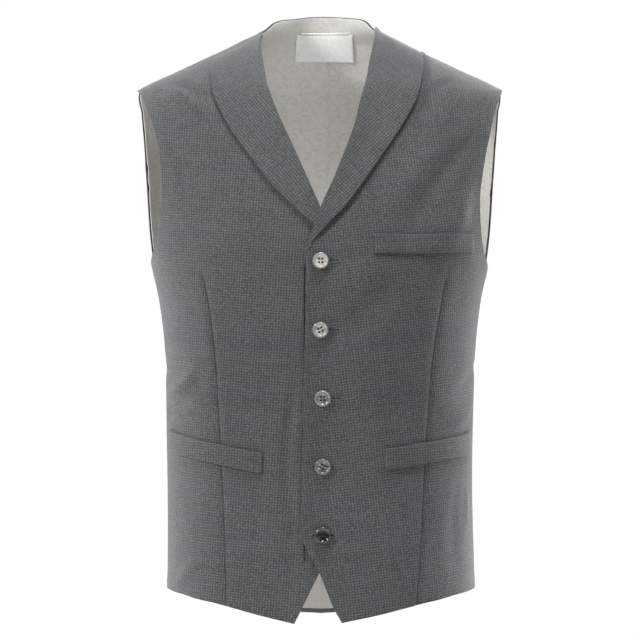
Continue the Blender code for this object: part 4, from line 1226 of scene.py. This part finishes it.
def joined(things, name):
    """Several objects made one mesh, with closed outward faces."""
    whole = bmesh.new()
    for thing in things:
        part = thing.data.copy()
        part.transform(thing.matrix_world)
        whole.from_mesh(part)
    bmesh.ops.recalc_face_normals(whole, faces=whole.faces)
    mesh = bpy.data.meshes.new(name)
    whole.to_mesh(mesh)
    whole.free()
    mesh.materials.append(things[0].data.materials[0])
    mesh.shade_smooth()
    for thing in things:
        bpy.data.objects.remove(thing)
    return placed(name, mesh)


def turned_button():
    """The button's mesh, turned finely from its profile with a dished middle, and drilled."""
    radius, height = np.array(BUTTON_PROFILE, float).T
    along = np.concatenate(([0], np.cumsum(np.hypot(np.diff(radius), np.diff(height)))))
    fine = np.linspace(0, along[-1], 60)
    profile = np.stack([smooth(along, radius, fine), smooth(along, height, fine)], axis=-1)
    profile[:, 1] -= np.where(profile[:, 1] > 1.5, 0.35 * np.exp(-((profile[:, 0] / 3.6) ** 4)), 0)
    mesh = bpy.data.meshes.new("button_profile")
    points = [(r * MM, 0, z * MM) for r, z in profile]
    mesh.from_pydata(points, [(k, k + 1) for k in range(len(points) - 1)], [])
    turned = placed("button_turned", mesh)
    screw = turned.modifiers.new("turn", "SCREW")
    screw.steps = screw.render_steps = BUTTON_STEPS
    screw.use_merge_vertices = True
    screw.merge_threshold = 1e-6
    drills = []
    for number in range(4):
        drill = bmesh.new()
        bmesh.ops.create_cone(drill, cap_ends=True, segments=24, depth=0.02, radius1=0.6 * THREAD_HOLE_DIAMETER,
                              radius2=0.6 * THREAD_HOLE_DIAMETER)
        turn = (45 + 90 * number) * DEGREE
        reach = THREAD_HOLE_SPACING / np.sqrt(2)
        drill.transform(Matrix.Translation((reach * np.cos(turn), reach * np.sin(turn), 0)))
        drill_mesh = bpy.data.meshes.new(f"drill_{number}")
        drill.to_mesh(drill_mesh)
        drill.free()
        drills.append(placed(f"drill_{number}", drill_mesh))
        cut = turned.modifiers.new("cut", "BOOLEAN")
        cut.object = drills[-1]
    applied(turned)
    mesh = turned.data
    mesh.set_sharp_from_angle(angle=50 * DEGREE)
    for thing in [turned, *drills]:
        bpy.data.objects.remove(thing)
    return mesh


def button_place(number):
    """A button's place on the form and how far its back stands out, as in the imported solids."""
    across = BUTTON_ACROSS[number - 1]
    height = (TOP_BUTTON_HEIGHT - (number - 1) * BUTTON_SPACING) / MM
    place = float(angle_across(across, height)), height
    seat = float(sheet_lift("left", np.array(place))) * MM + TRIM_GAP
    return across, place, seat


def buttons():
    """The five buttons, with dark thread filling their holes: the thread they are sewn on with, and painted shade that
    makes the holes look deep.
    """
    mesh = turned_button()
    for number, material in enumerate(HORNS, start=1):
        _, place, seat = button_place(number)
        own = mesh.copy()
        own.materials.clear()
        own.materials.append(material)
        button = placed(f"button_turned_{number}", own)
        frame_of = standing(place, seat)
        frame_of = frame_of @ Matrix.Rotation(BUTTON_TURNS[number - 1] * DEGREE, 4, "Z")
        button.matrix_world = frame_of
        stands_for(button, "horn", f"button_{number}")
        half = THREAD_HOLE_SPACING / 2
        # Dark plugs in the four holes: sewing thread, and painted shade for the dark holes.
        hole_shade_plugs = []
        for across in (-half, half):
            for up in (-half, half):
                points = np.array([(across, up, level * MM) for level in (0.3, 0.7, 1.2)])
                hole_shade_plugs.append(tube(points, 0.57 * THREAD_HOLE_DIAMETER, DARK_THREAD_AND_SHADE, "strand", sides=16))
        stitch = joined(hole_shade_plugs, f"button_stitch_{number}")
        stitch.matrix_world = frame_of
        stands_for(stitch, "thread")


def slot_outline(number, grow=0.0, count=72):
    """Points round a buttonhole on the left front: across and height, mm."""
    across, (_, height), _ = button_place(number)
    middle = across + BUTTONHOLE_MIDDLE[number - 1]
    half = BUTTONHOLE_LENGTH / MM / 2 + grow
    tall = BUTTONHOLE_WIDTH / MM / 2 + grow
    turn = np.linspace(0, 2 * np.pi, count, endpoint=False)
    x = half * np.sign(np.cos(turn)) * np.abs(np.cos(turn)) ** 0.35
    z = tall * np.sign(np.sin(turn)) * np.abs(np.sin(turn)) ** 0.9
    return middle + x, height + z


def left_out(across, height):
    """How far the left front's outer face stands out at places given as across and height (mm)."""
    places = np.stack([angle_across(across, height), np.asarray(height, float)], axis=-1)
    inward = across + 14.0
    folded = HEM_FOLD * (1 - ease(inward, 4, 9)) + edge_curl(inward)
    return places, sheet_lift("left", places) + front_relief("left", places) + folded


def buttonholes(cloth):
    """Cuts the buttonholes through the left front and works their edges in thread."""
    cutters = []
    for number in range(1, len(HORNS) + 1):
        across, (_, height), _ = button_place(number)
        middle = across + BUTTONHOLE_MIDDLE[number - 1]
        slot = bmesh.new()
        bmesh.ops.create_cube(slot, size=1.0)
        slot.transform(Matrix.Diagonal((BUTTONHOLE_LENGTH, 0.9 * MM, 8 * FRONT_WALL, 1)))
        mesh = bpy.data.meshes.new(f"slot_{number}")
        slot.to_mesh(mesh)
        slot.free()
        mesh.materials.append(THREAD)
        cutter = placed(f"slot_{number}", mesh)
        cutter.matrix_world = standing((float(angle_across(middle, height)), height), OVERLAP_LIFT)
        cutters.append(cutter)
        cut = cloth.modifiers.new("buttonhole", "BOOLEAN")
        cut.object = cutter
        stitched_buttonhole(number)
    applied(cloth)
    for cutter in cutters:
        bpy.data.objects.remove(cutter)


def stitched_buttonhole(number):
    """The bead of close stitches round one buttonhole, and a dark thread of painted shade laid along its slot."""
    x, z = slot_outline(number)
    stitches = []
    spots = np.arange(0, len(x))
    nudge_x, nudge_z = slot_outline(number, 0.75)
    for spot in spots:
        line_x = np.linspace(x[spot], nudge_x[spot], 5)
        line_z = np.linspace(z[spot], nudge_z[spot], 5)
        places, out = left_out(line_x, line_z)
        hump = 0.28 * np.sin(np.linspace(0.15, 1, 5) * np.pi)
        stitches.append(tube(raised(places, 0.0, out + hump), 0.26 * MM, THREAD, "stitch", sides=5))
    bead = joined(stitches, f"buttonhole_stitch_{number}")
    stands_for(bead, "thread")
    middle_x = np.linspace(x.min() + 0.4, x.max() - 0.4, 40)
    places, out = left_out(middle_x, np.full(40, z.mean()))
    stands_for(tube(raised(places, 0.0, out - 0.55), 0.42 * MM, DARK_THREAD_AND_SHADE, f"buttonhole_shade_{number}"), "thread")


# ---- light and camera ----


def area_light(name, place, aim, width, height, watts, spread=180):
    """A soft rectangular light."""
    lamp = bpy.data.lights.new(name, "AREA")
    lamp.shape = "RECTANGLE"
    lamp.size, lamp.size_y = width, height
    lamp.energy = watts
    lamp.spread = spread * DEGREE
    thing = bpy.data.objects.new(name, lamp)
    bpy.context.scene.collection.objects.link(thing)
    thing.location = place
    thing.rotation_euler = (Vector(aim) - Vector(place)).to_track_quat("-Z", "Y").to_euler()


def studio():
    """White surroundings, soft lights, a pale floor well below the garment, and the camera."""
    scene = bpy.context.scene
    scene.view_settings.view_transform = "Standard"
    world = bpy.data.worlds.new("studio")
    world.use_nodes = True
    scene.world = world
    nodes, links = world.node_tree.nodes, world.node_tree.links
    seen = nodes["Background"]
    seen.inputs["Color"].default_value = (1, 1, 1, 1)
    seen.inputs["Strength"].default_value = 1.0
    lit = nodes.new("ShaderNodeBackground")
    lit.inputs["Color"].default_value = (0.98, 0.99, 1.0, 1)
    lit.inputs["Strength"].default_value = WORLD_LIGHT
    mix = nodes.new("ShaderNodeMixShader")
    links.new(nodes.new("ShaderNodeLightPath").outputs["Is Camera Ray"], mix.inputs[0])
    links.new(lit.outputs[0], mix.inputs[1])
    links.new(seen.outputs[0], mix.inputs[2])
    links.new(mix.outputs[0], nodes["World Output"].inputs["Surface"])
    middle = (0, 0, CAMERA_HEIGHT)
    area_light("key", (-2.4, -1.9, 1.5), middle, 0.6, 0.6, 84)
    area_light("fill", (1.2, -3.0, 0.4), middle, 1.0, 1.0, 11)
    area_light("edge_left", (2.0, 0.9, 0.2), middle, 0.8, 2.0, 54)
    area_light("edge_right", (-2.0, 0.8, 0.2), middle, 0.8, 2.0, 42)
    area_light("behind", (0.4, 2.4, 1.0), middle, 2.0, 1.6, 8)
    area_light("top", (0.1, -0.7, 1.9), (0, 0, -0.05), 0.6, 0.5, 46)
    area_light("neck", (0, -1.3, 0.45), (0, 0.06, -0.02), 0.1, 0.1, 0.045, spread=16)
    floor_mesh = bpy.data.meshes.new("floor")
    disc = bmesh.new()
    bmesh.ops.create_circle(disc, cap_ends=True, segments=96, radius=1.6)
    disc.to_mesh(floor_mesh)
    disc.free()
    floor_mesh.materials.append(painted("floor", (0.86, 0.86, 0.86), 0.7))
    floor = placed("floor", floor_mesh)
    floor.location = (0, 0, CAD_BOX[0][2] - FLOOR_DROP)
    camera = bpy.data.cameras.new("camera")
    camera.sensor_width = SENSOR
    camera.lens = SENSOR * CAMERA_DISTANCE / PICTURE_WIDTH
    eye = bpy.data.objects.new("camera", camera)
    scene.collection.objects.link(eye)
    eye.location = (0, -CAMERA_DISTANCE, CAMERA_HEIGHT)
    eye.rotation_euler = (90 * DEGREE, 0, 0)
    scene.camera = eye


for leftover in ("Cube", "Light", "Camera"):
    if leftover in bpy.data.objects:
        bpy.data.objects.remove(bpy.data.objects[leftover])

studio()
for side in ("left", "right"):
    front = front_cloth(side)
    if side == "left":
        buttonholes(front)
    stands_for(front, "suiting", f"front_{side}")
    lapel = stands_for(lapel_cloth(side), "suiting", f"shawl_{side}")
    back = stands_for(back_cloth(side), "back_satin", f"back_{side}")
    inner = stands_for(lining_cloth(side), "lining", f"lining_back_{side}")
    dart_shade_line(side)
    edge_shade_lines(side)
for name in WELTS:
    pocket_shade_lines(name)
    stands_for(welt_cloth(name), "suiting", name)
label_centre = (LABEL_CENTRE[0], LABEL_CENTRE[1] + LABEL_RISE)
label = inside_trim("label", label_centre, LABEL_WIDTH, LABEL_LENGTH, 60, 26, LABEL, 0.3)
stands_for(label, "label", "label")
loop_centre = (LOOP_CENTRE[0], LOOP_CENTRE[1] + LABEL_RISE - 2.0)
loop = inside_trim("loop", loop_centre, LOOP_LENGTH, LOOP_WIDTH, 60, 6, LINING, 0.2)
stands_for(loop, "lining", "hanger_loop")
buttons()
for name, node in frame["nodes"].items():
    if name.startswith("shank"):
        node.data.materials.clear()
        node.data.materials.append(DARK_THREAD_AND_SHADE)
